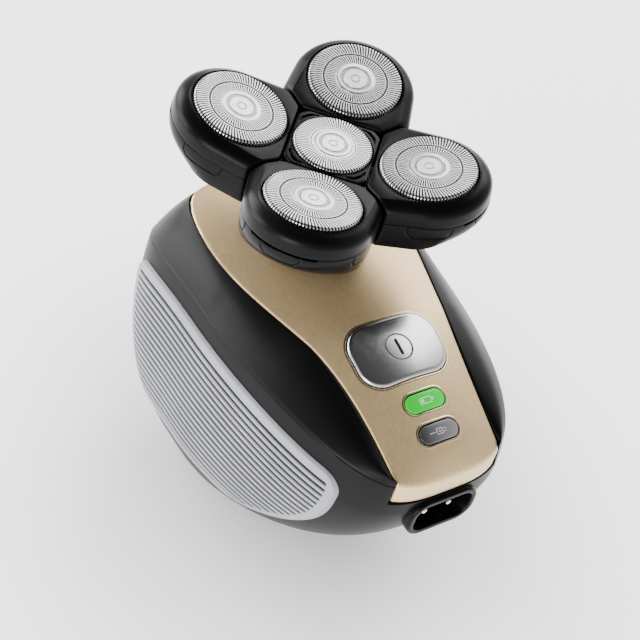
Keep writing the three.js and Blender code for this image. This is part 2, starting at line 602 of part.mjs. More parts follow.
function buildHeadCentre() {
  const base = turned([[8.6, -35], [10.3, -35], [10.3, NECK.top + 1.6], [16.4, NECK.top + 1.6], [16.4, -22.6],
    [14, -19], [15.4, -16], [15.4, -14.7], [6.6, -14.7], [6.6, -11.3], [4.4, -11.3], [4.4, -20.8], [8.6, -22], [8.6, -35]], 24);
  add("head_base", base, blackPlastic);
  const half = [HOLDER_CORNER, HOLDER_FLAT * Math.SQRT2 - HOLDER_CORNER];
  const octagon = new THREE.Shape(range(4).flatMap((k) => {
    const turn = (k * Math.PI) / 2;
    return [-1, 1].map((side) => new THREE.Vector2(half[0], side * half[1]).rotateAround(new THREE.Vector2(), turn));
  }));
  let holder = solid(new THREE.ExtrudeGeometry(octagon, { depth: 5.3, bevelEnabled: false }).translate(0, 0, -6.2))
    .subtract(solid(rod(CENTRE_CAP_RADIUS + GAP, -5.2, 2, 36)))
    .subtract(solid(rod(8.9, -9, 0, 28)));
  const leg = solid(box(0.6, 1, 12, 14.2, 0, -8.4)).add(solid(box(1.4, 1, 4, 13.8, 0, -4.2)));
  for (const k of range(4)) holder = holder.add(leg.rotate([0, 0, 90 * k]));
  add("centre_holder", surface(holder), blackPlastic);
  add("centre_cap", capShell(CENTRE_CAP_RADIUS), steel);
  add("centre_cutter", cutter(8.4), steel);
  const tube = solid(turned([[SPINDLE.radius + 0.35, -20.5], [4.1, -20.5], [4.1, MESH_Z], [2, MESH_Z], [2, -3.2], [0, -3.2],
    [0, -12.5], [SPINDLE.radius + 0.35, -12.5], [SPINDLE.radius + 0.35, -20.5]], 20));
  const disc = solid(gearDisc(GEAR_TEETH, GEAR_MODULE, 0, GEAR_THICK, MESH_Z)).rotate([0, 0, 45]);
  add("centre_gear", surface(tube.add(disc.subtract(solid(rod(3, -30, -12.5))))), nylon);
}

buildHandset();
buildInlet();
buildDrive();
buildElectrics();
buildHeadCentre();
PETALS.forEach(buildPetal);

export default root;
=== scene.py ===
"""Palm-held rotary head shaver, built up in the order in which it is put together."""

import math

import bpy
import numpy as np
from mathutils import Matrix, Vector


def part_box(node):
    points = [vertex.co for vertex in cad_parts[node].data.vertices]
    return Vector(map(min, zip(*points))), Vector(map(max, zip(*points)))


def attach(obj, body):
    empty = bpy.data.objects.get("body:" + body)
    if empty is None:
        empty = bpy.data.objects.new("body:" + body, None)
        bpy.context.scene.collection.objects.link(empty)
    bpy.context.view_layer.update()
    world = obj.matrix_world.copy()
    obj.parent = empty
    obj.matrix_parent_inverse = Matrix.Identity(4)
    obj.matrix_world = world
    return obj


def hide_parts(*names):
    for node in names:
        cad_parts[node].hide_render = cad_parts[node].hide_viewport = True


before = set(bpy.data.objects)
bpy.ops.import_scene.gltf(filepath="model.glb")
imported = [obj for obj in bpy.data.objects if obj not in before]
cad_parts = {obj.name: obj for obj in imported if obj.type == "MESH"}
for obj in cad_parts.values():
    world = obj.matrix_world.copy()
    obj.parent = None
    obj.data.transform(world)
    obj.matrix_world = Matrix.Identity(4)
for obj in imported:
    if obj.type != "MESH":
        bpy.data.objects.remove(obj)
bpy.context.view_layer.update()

# ---------------------------------------------------------------- table top, light and camera
# A matt, near-white table top under four soft boxes in a pale room, and the camera that looks down at it.
# The object is laid out in millimetres from the centre of the middle cap's face.
cap_low, cap_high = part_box("centre_cap")
CAP_FACE = np.array([(cap_low.x + cap_high.x) / 2, (cap_low.y + cap_high.y) / 2, cap_high.z])


def metres(points):
    """Millimetres from the middle cap's face to metres in the row frame."""
    return CAP_FACE + np.asarray(points, float) / 1000


def linear(code):
    """Linear colour of an sRGB hex code: each channel to the power 2.4 above the short straight part."""
    channels = [int(code[i : i + 2], 16) / 255 for i in (1, 3, 5)]
    return [*(c / 12.92 if c <= 0.04045 else ((c + 0.055) / 1.055) ** 2.4 for c in channels), 1.0]


def node(tree, kind, inputs=None, **settings):
    """Adds one node, sets its settings, and gives each named input a value or a link."""
    made = tree.nodes.new("ShaderNode" + kind)
    for key, value in settings.items():
        setattr(made, key, value)
    for key, value in (inputs or {}).items():
        if isinstance(value, bpy.types.NodeSocket):
            tree.links.new(value, made.inputs[key])
        else:
            made.inputs[key].default_value = value
    return made


def new_finish(name):
    """An empty material and its node tree."""
    made = bpy.data.materials.new(name)
    made.use_nodes = True
    made.node_tree.nodes.clear()
    return made, made.node_tree


def two_stops(tree, factor, low, high, start=0.35, end=0.65):
    """A ramp from one colour to another between two levels of a factor."""
    ramp = node(tree, "ValToRGB", {"Fac": factor})
    ramp.color_ramp.elements[0].position, ramp.color_ramp.elements[0].color = start, linear(low)
    ramp.color_ramp.elements[1].position, ramp.color_ramp.elements[1].color = end, linear(high)
    return ramp.outputs["Color"]


laminate, tree = new_finish("matt_white_laminate")  # pressed laminate: even, with a faint mottle
spot = node(tree, "TexCoord").outputs["Object"]
mottle = node(tree, "TexNoise", {"Vector": spot, "Scale": 9.0, "Detail": 4.0}).outputs["Fac"]
away = node(tree, "VectorMath", {0: spot}, operation="LENGTH").outputs["Value"]
glow = node(tree, "MapRange", {  # glows, dimmed to a painted shadow where the object stands
    "Value": away, "From Min": 0.02, "From Max": 0.11, "To Min": 0.2, "To Max": 1.8},
    interpolation_type="SMOOTHSTEP")
shader = node(tree, "BsdfPrincipled", {
    "Base Color": two_stops(tree, mottle, "#f2f2f0", "#f6f6f4"), "Roughness": 0.62,
    "Emission Color": linear("#ffffff"), "Emission Strength": glow.outputs[0]})
node(tree, "OutputMaterial", {"Surface": shader.outputs[0]})

table = bpy.data.meshes.new("table_top")
table.from_pydata([(-4, -4, 0), (4, -4, 0), (4, 4, 0), (-4, 4, 0)], [], [(0, 1, 2, 3)])
table.materials.append(laminate)
table_top = bpy.data.objects.new("table_top", table)
bpy.context.scene.collection.objects.link(table_top)

room = bpy.data.worlds.new("pale_room")
room.use_nodes = True
room.node_tree.nodes.clear()
tree = room.node_tree  # pale walls, and a ceiling that is darker straight overhead
height = node(tree, "SeparateXYZ", {"Vector": node(tree, "TexCoord").outputs["Generated"]}).outputs["Z"]
wall = node(tree, "MapRange", {
    "Value": height, "From Min": 0.3, "From Max": 0.92, "To Min": 1.35, "To Max": 0.06})
sky = node(tree, "Background", {"Color": linear("#fafafa"), "Strength": wall.outputs[0]})
node(tree, "OutputWorld", {"Surface": sky.outputs[0]})
bpy.context.scene.world = room


def soft_box(name, place, target, size, watts):
    """A square area light of the given side in metres, at place and turned to face target."""
    light = bpy.data.lights.new(name, "AREA")
    light.shape, light.size, light.energy = "SQUARE", size, watts
    box = bpy.data.objects.new(name, light)
    back = (np.array(place) - np.array(target)) / np.linalg.norm(np.array(place) - np.array(target))
    side = np.cross([0, 0, 1], back) / np.linalg.norm(np.cross([0, 0, 1], back))
    axes = np.stack([side, np.cross(back, side), back], 1)
    box.matrix_world = Matrix.Translation(place) @ Matrix(axes.tolist()).to_4x4()
    bpy.context.scene.collection.objects.link(box)


soft_box("rear_box", (-0.22, 0.95, 0.42), (0, 0, 0.06), 0.5, 9)
soft_box("right_box", (0.68, 0.42, 0.7), (0, 0, 0.06), 0.78, 9.5)
soft_box("left_box", (-0.85, -0.45, 0.3), (0, 0, 0.05), 0.5, 9)
soft_box("corner_box", (-0.7, 0.62, 0.3), (-0.02, 0.03, 0.07), 0.6, 11)

lens = bpy.data.cameras.new("camera")
lens.lens, lens.sensor_width, lens.clip_start = 104.86, 36, 0.01
camera = bpy.data.objects.new("camera", lens)
back = np.array([-0.49884, -0.50145, 0.70690])
right = np.cross([0.25924, 0.69196, 0.67379], back)
right /= np.linalg.norm(right)
axes = np.stack([right, np.cross(back, right), back], 1)
eye = metres([-238.54, -253.84, 288.98])
camera.matrix_world = Matrix.Translation(eye) @ Matrix(axes.tolist()).to_4x4()
bpy.context.scene.collection.objects.link(camera)
bpy.context.scene.camera = camera

# ---------------------------------------------------------------- lower shell
# The lower half of the egg: a deep cup moulded in black ABS, 2.6 mm thick, with a small flat foot.
# Its rim is the crease that runs round the handset, dropped at the nose to clear the panel's lip.
HALF_WIDTH, FRONT_REACH, BACK_REACH, MIDDLE = 33.0, 63.4, 40.8, -10.0
SWELL, WALL_END, BELLY_DEPTH, WALL = 2.3, -53.1, 50.6, 2.6
LIP_LOW, LIP_HALF, SEAM, INLET_LEVEL = -49.0, 15.3, 0.3, -56.2


def plan(angle, tail=5.2):
    """Unit outline seen from above: cosine and sine to the power 2 / n, with n 3.4 across and 1.85 along
    ahead of the widest section, and the boxier tail's own n behind it."""
    c, s = np.cos(angle), np.sin(angle)
    ahead = s < 0
    across = np.sign(c) * np.abs(c) ** np.where(ahead, 2 / 3.4, 2 / tail)
    along = np.sign(s) * np.abs(s) ** np.where(ahead, 2 / 1.85, 2 / tail)
    return across, along


def edge_point(angle, inset=0.0):
    """The crease: the plan at full size, dropping with the cube of the distance along towards both ends."""
    across, along = plan(angle)
    reach = np.where(along < 0, FRONT_REACH, BACK_REACH) - inset
    level = -39.3 - np.where(along < 0, 4.5 * (-along) ** 3, 8 * along**3)
    return across * (HALF_WIDTH - inset), MIDDLE + along * reach, level


def wall_point(angle, drop, inset=0.0):
    """Wall under the crease: swells by SWELL as one minus the square of what is left of the drop."""
    across, along = plan(angle)
    grown = 1 - (1 - drop) ** 2
    reach = np.where(along < 0, FRONT_REACH, BACK_REACH - 2 * grown) - inset
    level = edge_point(angle)[2] * (1 - drop) + WALL_END * drop
    return across * (HALF_WIDTH + SWELL * grown - inset), MIDDLE + along * reach, level


def belly_point(angle, depth, inset=0.0):
    """Belly: the plan shrinks as the n-th root of one minus depth to the n, with n 3.84 across, 1.6 ahead
    and 1.85 behind, so the sides stay full while the nose sweeps back."""
    across, along = plan(angle)

    def closing(n):
        return (1 - depth**n) ** (1 / n)

    ahead, behind = (FRONT_REACH - inset) * closing(1.6), (BACK_REACH - 2 - inset) * closing(1.85)
    level = WALL_END - (BELLY_DEPTH - inset) * depth + 0 * across
    x = across * (HALF_WIDTH + SWELL - inset) * closing(3.84)
    return x, MIDDLE + along * np.where(along < 0, ahead, behind), level


def even_angles(count):
    """Angles whose points are evenly spaced round the crease, from a table of its length, and a close pair
    at each end of the panel's lip."""
    fine = np.linspace(0, 1, 4001)[:-1]
    eased = fine**3 / (fine**3 + (1 - fine) ** 3)
    angles = np.append((np.arange(4)[:, None] + eased).ravel() * math.pi / 2, 2 * math.pi)
    x, y, _ = edge_point(angles)
    length = np.append(0, np.cumsum(np.hypot(np.diff(x), np.diff(y))))
    even = np.interp((np.arange(count) + 0.5) / count * length[-1], length, angles)
    lip = np.arccos((np.array([LIP_HALF + 0.08, LIP_HALF + SEAM]) / HALF_WIDTH) ** 1.7)
    return np.sort(np.concatenate([even, math.pi + lip, 2 * math.pi - lip]))


def under_lip(angle):
    """True where the panel's lip covers the nose."""
    return (np.abs(edge_point(angle)[0]) < LIP_HALF + 0.2) & (np.sin(angle) < 0)


def grid_faces(rows, cols, round_rows=False, round_cols=True):
    """Quads between neighbouring rows and columns of a grid whose vertices are numbered row by row."""
    r = np.arange(rows if round_rows else rows - 1)[:, None]
    c = np.arange(cols if round_cols else cols - 1)[None, :]
    r1, c1 = (r + 1) % rows, (c + 1) % cols
    return np.stack([r * cols + c, r * cols + c1, r1 * cols + c1, r1 * cols + c], -1).reshape(-1, 4)


def walled(outer, inner, *faces):
    """A closed plate: an outer sheet, an inner sheet of the same faces turned over, and a strip along each
    open edge, found as an edge with no partner running the other way."""
    n = len(outer)
    start = np.concatenate([f.ravel() for f in faces])
    end = np.concatenate([np.roll(f, -1, 1).ravel() for f in faces])
    alone = ~np.isin(start * n + end, end * n + start)
    a, b = start[alone], end[alone]
    strips = np.stack([b, a, a + n, b + n], -1)
    return np.concatenate([outer, inner]), [*faces, *[f[:, ::-1] + n for f in faces], strips]


def piece(name, points, faces, body, finish, stands_for=(), marks=None):
    """Makes a closed mesh in its place, turns its faces outwards by the sign of its volume, and fastens it
    to its body. marks are point attributes that its finish reads."""
    points = metres(points)
    corners = [points[f] for f in faces]
    volume = sum(np.einsum("ij,ij->", c[:, 0], np.cross(c[:, k], c[:, k + 1]))
                 for c in corners for k in range(1, c.shape[1] - 1))
    if volume < 0:
        faces = [f[:, ::-1] for f in faces]
    mesh = bpy.data.meshes.new(name)
    mesh.from_pydata(points.tolist(), [], [face for f in faces for face in f.tolist()])
    mesh.polygons.foreach_set("use_smooth", np.ones(len(mesh.polygons), bool))
    mesh.set_sharp_from_angle(angle=math.radians(32))
    mesh.materials.append(finish)
    for mark, values in (marks or {}).items():
        values = np.asarray(values, np.float32).ravel()
        mesh.attributes.new(mark, "FLOAT", "POINT").data.foreach_set("value", values)
    made = bpy.data.objects.new(name, mesh)
    bpy.context.scene.collection.objects.link(made)
    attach(made, body)
    if stands_for:
        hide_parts(*stands_for)
    return made


def moulded(name, dark, light, grain, gloss, relief=0.02, mark=None, cut_line_shade="#010101", level=0.2):
    """Spark-eroded mould texture: noise with cells of grain mm as shallow relief and a little spread in the
    gloss, and a broad, faint change of colour. mark names an attribute that paints shade into lines cut in
    the piece.
    level is the specular level, set low where the black is deep and shows little of the pale room."""
    made, tree = new_finish(name)
    spot = node(tree, "TexCoord").outputs["Object"]
    broad = node(tree, "TexNoise", {"Vector": spot, "Scale": 40.0, "Detail": 3.0}).outputs["Fac"]
    cells = node(tree, "TexNoise", {"Vector": spot, "Scale": 1000 / grain, "Detail": 2.0}).outputs["Fac"]
    rough = node(tree, "MapRange", {
        "Value": cells, "To Min": gloss - 0.05, "To Max": gloss + 0.05}).outputs[0]
    relief = node(tree, "Bump", {"Height": cells, "Strength": 0.35, "Distance": relief / 1000}).outputs[0]
    colour = two_stops(tree, broad, dark, light)
    if mark:
        cut = node(tree, "Attribute", attribute_name=mark).outputs["Fac"]
        colour = node(tree, "Mix", {"Factor": cut, "A": colour, "B": linear(cut_line_shade)},
                      data_type="RGBA").outputs["Result"]
    shader = node(tree, "BsdfPrincipled", {
        "Base Color": colour, "Roughness": rough, "Normal": relief, "IOR": 1.53,
        "Specular IOR Level": level})
    node(tree, "OutputMaterial", {"Surface": shader.outputs[0]})
    return made


# ABS from a fine spark-eroded mould: a satin black whose grain, drawn at 0.5 mm, only softens the sheen.
black_abs = moulded("satin_black_abs", "#060607", "#0a0a0b", 0.5, 0.35, level=0.11)

around = even_angles(420)
lipped = under_lip(around)
edge_level = edge_point(around)[2]
rim_level = np.where(lipped, LIP_LOW - SEAM, edge_level - SEAM / 2)
start = (rim_level - edge_level) / (WALL_END - edge_level)


def lower_sheet(inset):
    """Rows from the rim down the wall, down the belly to the foot, and in over the flat foot."""
    drops = start + (1 - start) * np.linspace(0, 1, 16)[:, None]
    depths = 0.95 * np.sin(np.linspace(0, 1, 64)[1:, None] * math.pi / 2) ** 1.15
    wall = np.stack(wall_point(around, drops, inset), -1)
    belly = np.stack(belly_point(around, depths, inset), -1)
    centre = belly[-1].mean(0)
    foot = centre + (belly[-1] - centre) * np.array([0.97, 0.6, 0.25])[:, None, None]
    return np.concatenate([wall, belly, foot])


outer, inner = lower_sheet(0.0), lower_sheet(WALL)
softened = outer[0] + (np.array([0, MIDDLE, 0]) - outer[0]) * [0.006, 0.006, 0]
outer = np.concatenate([softened[None], outer[:1] - [0, 0, 0.22], outer[1:]])
inner = np.concatenate([inner[:1], inner])
rows, cols = outer.shape[:2]
quads = grid_faces(rows, cols)
middle = outer.reshape(-1, 3)[quads].mean(1)
from_core = np.hypot(np.maximum(np.abs(middle[:, 0]) - 5, 0),
                     np.maximum(np.abs(middle[:, 2] - INLET_LEVEL) - 1, 0))
in_socket = (from_core < 4.4) & (middle[:, 1] < -40)
last = (rows - 1) * cols + np.arange(cols)
pole = np.stack([np.full(cols, rows * cols), last, np.roll(last, -1)], -1)
outer = np.concatenate([outer.reshape(-1, 3), outer[-1].mean(0)[None]])
inner = np.concatenate([inner.reshape(-1, 3), inner[-1].mean(0)[None]])
points, faces = walled(outer, inner, quads[~in_socket], pole)
piece("lower_shell_moulding", points, faces, "handset", black_abs, ["lower_shell"])

# ---------------------------------------------------------------- charging inlet
# A black boss under the nose with an oblong socket, and two nickel-plated pins for the charger's plug.
# It is a separate moulding pressed in from behind.


def round_corners(width, length, radius, count):
    """Evenly spaced points on a rectangle with round corners, and the outward direction at each: four
    quarter circles joined by straight sides, resampled by length."""
    turn = (np.arange(4)[:, None] + np.linspace(0, 1, 31)) * math.pi / 2
    side = np.array([[1, 1], [-1, 1], [-1, -1], [1, -1]])[:, None, :]
    out = np.stack([np.cos(turn), np.sin(turn)], -1)
    line = (side * [width / 2 - radius, length / 2 - radius] + radius * out).reshape(-1, 2)
    line, out = np.concatenate([line, line[:1]]), np.concatenate([out.reshape(-1, 2), [[1.0, 0.0]]])
    walked = np.append(0, np.cumsum(np.hypot(*np.diff(line, axis=0).T)))
    at = np.arange(count) / count * walked[-1]
    point = np.stack([np.interp(at, walked, line[:, k]) for k in (0, 1)], -1)
    facing = np.stack([np.interp(at, walked, out[:, k]) for k in (0, 1)], -1)
    return point, facing / np.linalg.norm(facing, axis=1)[:, None]


def closed_skin(grid):
    """A closed surface from a grid whose columns go round, with its first and last rows fanned to a pole."""
    rows, cols = grid.shape[:2]
    c = np.arange(cols)
    d = (c + 1) % cols
    first = np.stack([np.full(cols, rows * cols), d, c], -1)
    last = np.stack([np.full(cols, rows * cols + 1), (rows - 1) * cols + c, (rows - 1) * cols + d], -1)
    points = np.concatenate([grid.reshape(-1, 3), grid[0].mean(0)[None], grid[-1].mean(0)[None]])
    return points, [grid_faces(rows, cols), np.concatenate([first, last])]


outline, facing = round_corners(20.2, 12.2, 5.1, 160)
# (inset, y, share): out round the front rim, in over it, down the socket's wall and across its floor
profile = [(9, -62, 0.3), (0, -62, 1), (0, -73.8, 1), (0.12, -74.2, 1), (0.4, -74.45, 1), (0.8, -74.5, 1),
           (1.25, -74.5, 1), (1.55, -74.4, 1), (1.7, -74.1, 1), (1.75, -70, 1), (1.8, -66.2, 1),
           (2.2, -66, 1), (2.2, -66, 0.6), (2.2, -66, 0.2)]
grid = []
for inset, y, share in profile:
    ring = (outline - facing * min(inset, 3.4)) * share
    grid.append(np.stack([ring[:, 0], np.full(len(ring), y), ring[:, 1] + INLET_LEVEL], -1))
# The same ABS from a polished mould: a little glossier than the shells.
boss_black = moulded("gloss_black_abs", "#050506", "#08080a", 0.6, 0.26, level=0.08)
points, faces = closed_skin(np.array(grid))
piece("inlet_boss", points, faces, "handset", boss_black, ["inlet_housing"])


def turned(profile, steps=96, centre=(0, 0, 0)):
    """A closed turning: each (radius, height) of the profile carried round Z. A profile that starts and ends
    on the axis closes on poles; any other closes on itself as a ring."""
    profile = np.array(profile, float)
    turn = np.arange(steps) / steps * 2 * math.pi
    ring = profile[0, 0] > 1e-6
    rows = profile if ring else profile[1:-1]
    grid = np.stack([rows[:, :1] * np.cos(turn), rows[:, :1] * np.sin(turn), rows[:, 1:] + 0 * turn], -1)
    if ring:
        return grid.reshape(-1, 3) + centre, [grid_faces(*grid.shape[:2], round_rows=True)]
    points, faces = closed_skin(grid)
    points[-2:] = [[0, 0, profile[0, 1]], [0, 0, profile[-1, 1]]]
    return points + centre, faces


def plated(name, colour, gloss, scratch=4.0, spread=0.03):
    """Bright plating: full metal, with a fine streak of noise, scratch mm across and stretched along Y, that
    varies its gloss by spread to each side."""
    made, tree = new_finish(name)
    spot = node(tree, "TexCoord").outputs["Object"]
    long = node(tree, "Mapping", {"Vector": spot, "Scale": (1000 / scratch, 40, 1000 / scratch)}).outputs[0]
    streak = node(tree, "TexNoise", {"Vector": long, "Scale": 1.0, "Detail": 5.0}).outputs["Fac"]
    rough = node(tree, "MapRange", {
        "Value": streak, "To Min": gloss - spread, "To Max": gloss + spread}).outputs[0]
    shader = node(tree, "BsdfPrincipled", {"Base Color": linear(colour), "Metallic": 1.0, "Roughness": rough})
    node(tree, "OutputMaterial", {"Surface": shader.outputs[0]})
    return made


pin_nickel = plated("bright_nickel_plate", "#e4e2dc", 0.14)
for name, side in (("left", -1), ("right", 1)):
    along = [(0, -60), (0.85, -60), (0.85, -71.9), (0.8, -72.15), (0.62, -72.33), (0.35, -72.4), (0, -72.4)]
    points, faces = turned([(r, y) for r, y in along], 32)
    points = np.stack([points[:, 0] + 3.7 * side, points[:, 2], points[:, 1] - 57.1], -1)
    piece("plug_pin_" + name, points, faces, "handset", pin_nickel, ["charge_pin_" + name])

# ---------------------------------------------------------------- electrics and drive, inside the shells
# Control board and its switch, a lithium cell in its cradle, and the motor with its gears and bearing.
# They are the solids of the frame, each given its own finish.


def clad(finish, *names):
    """Gives frame nodes a finish in every material slot."""
    for name in names:
        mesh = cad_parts[name].data
        mesh.materials.clear()
        mesh.materials.append(finish)


# Glass-epoxy board: green solder mask over copper tracks about 0.8 mm apart, with tinned pads.
solder_mask, tree = new_finish("green_solder_mask")
spot = node(tree, "TexCoord").outputs["Object"]
tracks = node(tree, "TexBrick", {
    "Vector": spot, "Scale": 260.0, "Mortar Size": 0.05, "Color1": linear("#1c5a35"),
    "Color2": linear("#1f633a"), "Mortar": linear("#3c8a55")}).outputs["Color"]
pads = node(tree, "TexVoronoi", {"Vector": spot, "Scale": 320.0}).outputs["Distance"]
tinned = node(tree, "MapRange", {
    "Value": pads, "From Min": 0.16, "From Max": 0.2, "To Min": 1.0, "To Max": 0.0})
colour = node(tree, "Mix", {"Factor": tinned.outputs[0], "A": tracks, "B": linear("#c9ccc8")},
              data_type="RGBA")
shader = node(tree, "BsdfPrincipled", {
    "Base Color": colour.outputs["Result"], "Metallic": tinned.outputs[0], "Roughness": 0.32, "IOR": 1.55})
node(tree, "OutputMaterial", {"Surface": shader.outputs[0]})
clad(solder_mask, "control_board")

# PVC shrink sleeve: glossy blue film, drawn tight in faint rings about 2 mm apart.
shrink_sleeve, tree = new_finish("blue_pvc_shrink_sleeve")
spot = node(tree, "TexCoord").outputs["Object"]
rings = node(tree, "TexWave", {"Vector": spot, "Scale": 80.0, "Distortion": 2.5, "Detail": 2.0},
             bands_direction="X").outputs["Fac"]
shader = node(tree, "BsdfPrincipled", {
    "Base Color": two_stops(tree, rings, "#245391", "#2c62a6", 0.1, 0.9), "Roughness": 0.24, "IOR": 1.53,
    "Normal": node(tree, "Bump", {"Height": rings, "Strength": 0.3, "Distance": 0.00005}).outputs[0]})
node(tree, "OutputMaterial", {"Surface": shader.outputs[0]})
clad(shrink_sleeve, "battery_cell")

# Glass-filled nylon for the frame and cradle: a dry, slightly fibrous black.
clad(moulded("glass_filled_nylon", "#202022", "#2b2b2d", 0.8, 0.55, 0.04), "motor_frame", "battery_cradle")
clad(moulded("switch_phenolic", "#171717", "#232323", 0.4, 0.45), "button_switch")
clad(plated("zinc_plated_steel", "#bfc2c4", 0.3, 1.5), "motor", "motor_screw_1", "motor_screw_2")
clad(plated("ground_spindle_steel", "#cdd0d2", 0.2, 0.6), "drive_spindle")


def sintered(name, dark, light, gloss):
    """Pressed and sintered metal: pores about 0.4 mm across, darker and rougher than the metal round them."""
    made, tree = new_finish(name)
    spot = node(tree, "TexCoord").outputs["Object"]
    pores = node(tree, "TexNoise", {"Vector": spot, "Scale": 2500.0, "Detail": 3.0}).outputs["Fac"]
    rough = node(tree, "MapRange", {"Value": pores, "To Min": gloss + 0.12, "To Max": gloss}).outputs[0]
    shader = node(tree, "BsdfPrincipled", {
        "Base Color": two_stops(tree, pores, dark, light), "Metallic": 1.0, "Roughness": rough})
    node(tree, "OutputMaterial", {"Surface": shader.outputs[0]})
    return made


clad(sintered("oiled_sintered_bronze", "#8a6a34", "#bd9850", 0.34), "spindle_bearing")
clad(sintered("cut_brass", "#b0873f", "#d2ad62", 0.24), "motor_pinion")
acetal = moulded("natural_acetal", "#e0dccd", "#ebe7da", 0.5, 0.4)  # waxy, off-white gear plastic
clad(acetal, "reduction_gear", "centre_gear")
cutter_steel = plated("ground_cutter_steel", "#c6c8ca", 0.22, 0.5)
clad(cutter_steel, "centre_cutter")

# ---------------------------------------------------------------- top shell
# The shoulders from the crease up to the panel, in the same black ABS, and the seat under the panel.
# It is screwed to the lower shell from inside; holes let the button and the neck through.
PANEL_BACK, LEDGE, TOP_WALL = 33.2, 1.7, 2.4
NECK_HOLE, BUTTON_Y = 13.6, -42.4


def panel_half_width(y):
    """The panel's half width: 15.3 mm at the nose, and a bell curve wider under the head."""
    return 15.3 + 11.4 * np.exp(-(((y - 1) / 35.6) ** 2))


def panel_edge_level(y):
    """Level under the head, then falling with the power 1.45 of the distance ahead of y = -33."""
    return -30.8 - 0.0611 * np.maximum(0, -33 - y) ** 1.45


def crown_level(x, y):
    """The panel's edge level and a crown of 2.5 mm, a parabola across, which dies away at the nose."""
    crown = 2.5 * (1 - np.clip((-y - 60) / 13.5, 0, 1) ** 3)
    return panel_edge_level(y) + crown * (1 - np.minimum(1, np.abs(x) / panel_half_width(y)) ** 2)


def panel_outline(angle, grow=0.0):
    """The panel's outline in plan, moved out by grow: its half width by the length of each section."""
    across, along = plan(angle, 10)
    y = MIDDLE + along * (np.where(along < 0, FRONT_REACH - 0.5, PANEL_BACK) + grow)
    limit = np.abs(edge_point(angle)[0]) - 0.4
    ahead = np.sign(across) * np.minimum(panel_half_width(y) + grow, limit)
    return np.where(along < 0, ahead, across * (panel_half_width(y) + grow)), y


def nose_y(x):
    """The nose in plan, solved for y."""
    return MIDDLE - FRONT_REACH * (1 - np.abs(x / HALF_WIDTH) ** 3.4) ** (1 / 1.85)


def top_sheet(inset, sink):
    """Rows from the crease up the shoulder, which bulges as a half sine, over its rounded edge, down into the
    seam beside the panel, and in under the panel on its ledge, shrinking towards the middle."""
    x, y, z = edge_point(around, np.where(lipped, 1.65 + inset, inset))
    z = np.where(lipped, LIP_LOW, z + SEAM / 2)
    px, py = panel_outline(around, SEAM - inset)
    px, py = np.where(lipped, x, px), np.where(lipped, y, py)
    top = np.where(lipped, crown_level(x, y) - LEDGE, panel_edge_level(py)) - sink
    t = np.concatenate([[0, 0.004, 0.02, 0.06, 0.12], np.array([2, 3, 4, 5, 6, 7, 8]) / 10,
                        [0.88, 0.94, 0.975, 0.993, 1]])[:, None]
    roll = 0.22 * (np.maximum(0, t - 0.94) / 0.06) ** 3
    roll = roll + 0.2 * np.maximum(0, 1 - t / 0.012) ** 2 * (sink == 0)
    rows = np.stack([x + (px - x) * t, y + (py - y) * t,
                     z + (top - z) * t + (1.2 * np.sin(math.pi * t) - roll) * ~lipped], -1)
    down = np.stack([px, py, top - np.where(lipped, 0.1, 1.65)], -1)[None]
    k = np.array([0.985, 0.9, 0.78, 0.66, 0.54, 0.42, 0.3, 0.2, 0.1])[:, None]
    ux, uy = px * k, MIDDLE + (py - MIDDLE) * k
    under = np.stack([ux, uy, crown_level(ux, uy) - LEDGE - sink], -1)
    return np.concatenate([rows, down, under])


def trimmed(points, faces):
    """Leaves out the points that no face uses any more, and numbers the others again."""
    used = np.unique(np.concatenate([f.ravel() for f in faces]))
    renumber = np.zeros(len(points), int)
    renumber[used] = np.arange(len(used))
    return points[used], [renumber[f] for f in faces]


outer, inner = top_sheet(0.0, 0.0), top_sheet(TOP_WALL, 1.9)
rows, cols = outer.shape[:2]
quads = grid_faces(rows, cols)
middle = outer.reshape(-1, 3)[quads].mean(1)
under_panel = np.arange(len(quads)) >= 17 * cols
neck_hole = np.hypot(middle[:, 0], middle[:, 1]) < NECK_HOLE
button_hole = (np.abs(middle[:, 0]) < 13.6) & (np.abs(middle[:, 1] - BUTTON_Y) < 9.6)
keep = ~(under_panel & (neck_hole | button_hole))
points, faces = trimmed(*walled(outer.reshape(-1, 3), inner.reshape(-1, 3), quads[keep]))
piece("top_shell_moulding", points, faces, "handset", black_abs, ["top_shell"])

# ---------------------------------------------------------------- front panel
# A champagne-gold skin, 1.3 mm of metallised and lacquered ABS, crowned over the top shell.
# It is bent down over the nose as a lip, and clipped and glued to the shell.
champagne, tree = new_finish("champagne_metallic_lacquer")  # fine flake under a satin clear coat
spot = node(tree, "TexCoord").outputs["Object"]
flake = node(tree, "TexVoronoi", {"Vector": spot, "Scale": 1800.0}).outputs["Color"]
glint = node(tree, "RGBToBW", {"Color": flake}).outputs[0]
broad = node(tree, "TexNoise", {"Vector": spot, "Scale": 22.0, "Detail": 2.0}).outputs["Fac"]
tone = node(tree, "Math", {0: node(tree, "Math", {0: glint, 1: 0.35}, operation="MULTIPLY").outputs[0],
                           1: node(tree, "Math", {0: broad, 1: 0.65}, operation="MULTIPLY").outputs[0]},
            operation="ADD").outputs[0]
shader = node(tree, "BsdfPrincipled", {
    "Base Color": two_stops(tree, tone, "#d4b382", "#e6cb9c", 0.2, 0.8), "Metallic": 0.72,
    "Roughness": node(tree, "MapRange", {"Value": glint, "To Min": 0.36, "To Max": 0.44}).outputs[0],
    "Coat Weight": 0.25, "Coat Roughness": 0.28})
node(tree, "OutputMaterial", {"Surface": shader.outputs[0]})
SKIN, PANEL_NECK_HOLE = 1.3, 13.8
# Width, length and corner radius of the openings' fillers, and where they lie along the panel.
BUTTON, LENS, LENS_Y = (25.3, 16.6, 6.2), (11.1, 4.6, 2.28), (-56.4, -63.9)


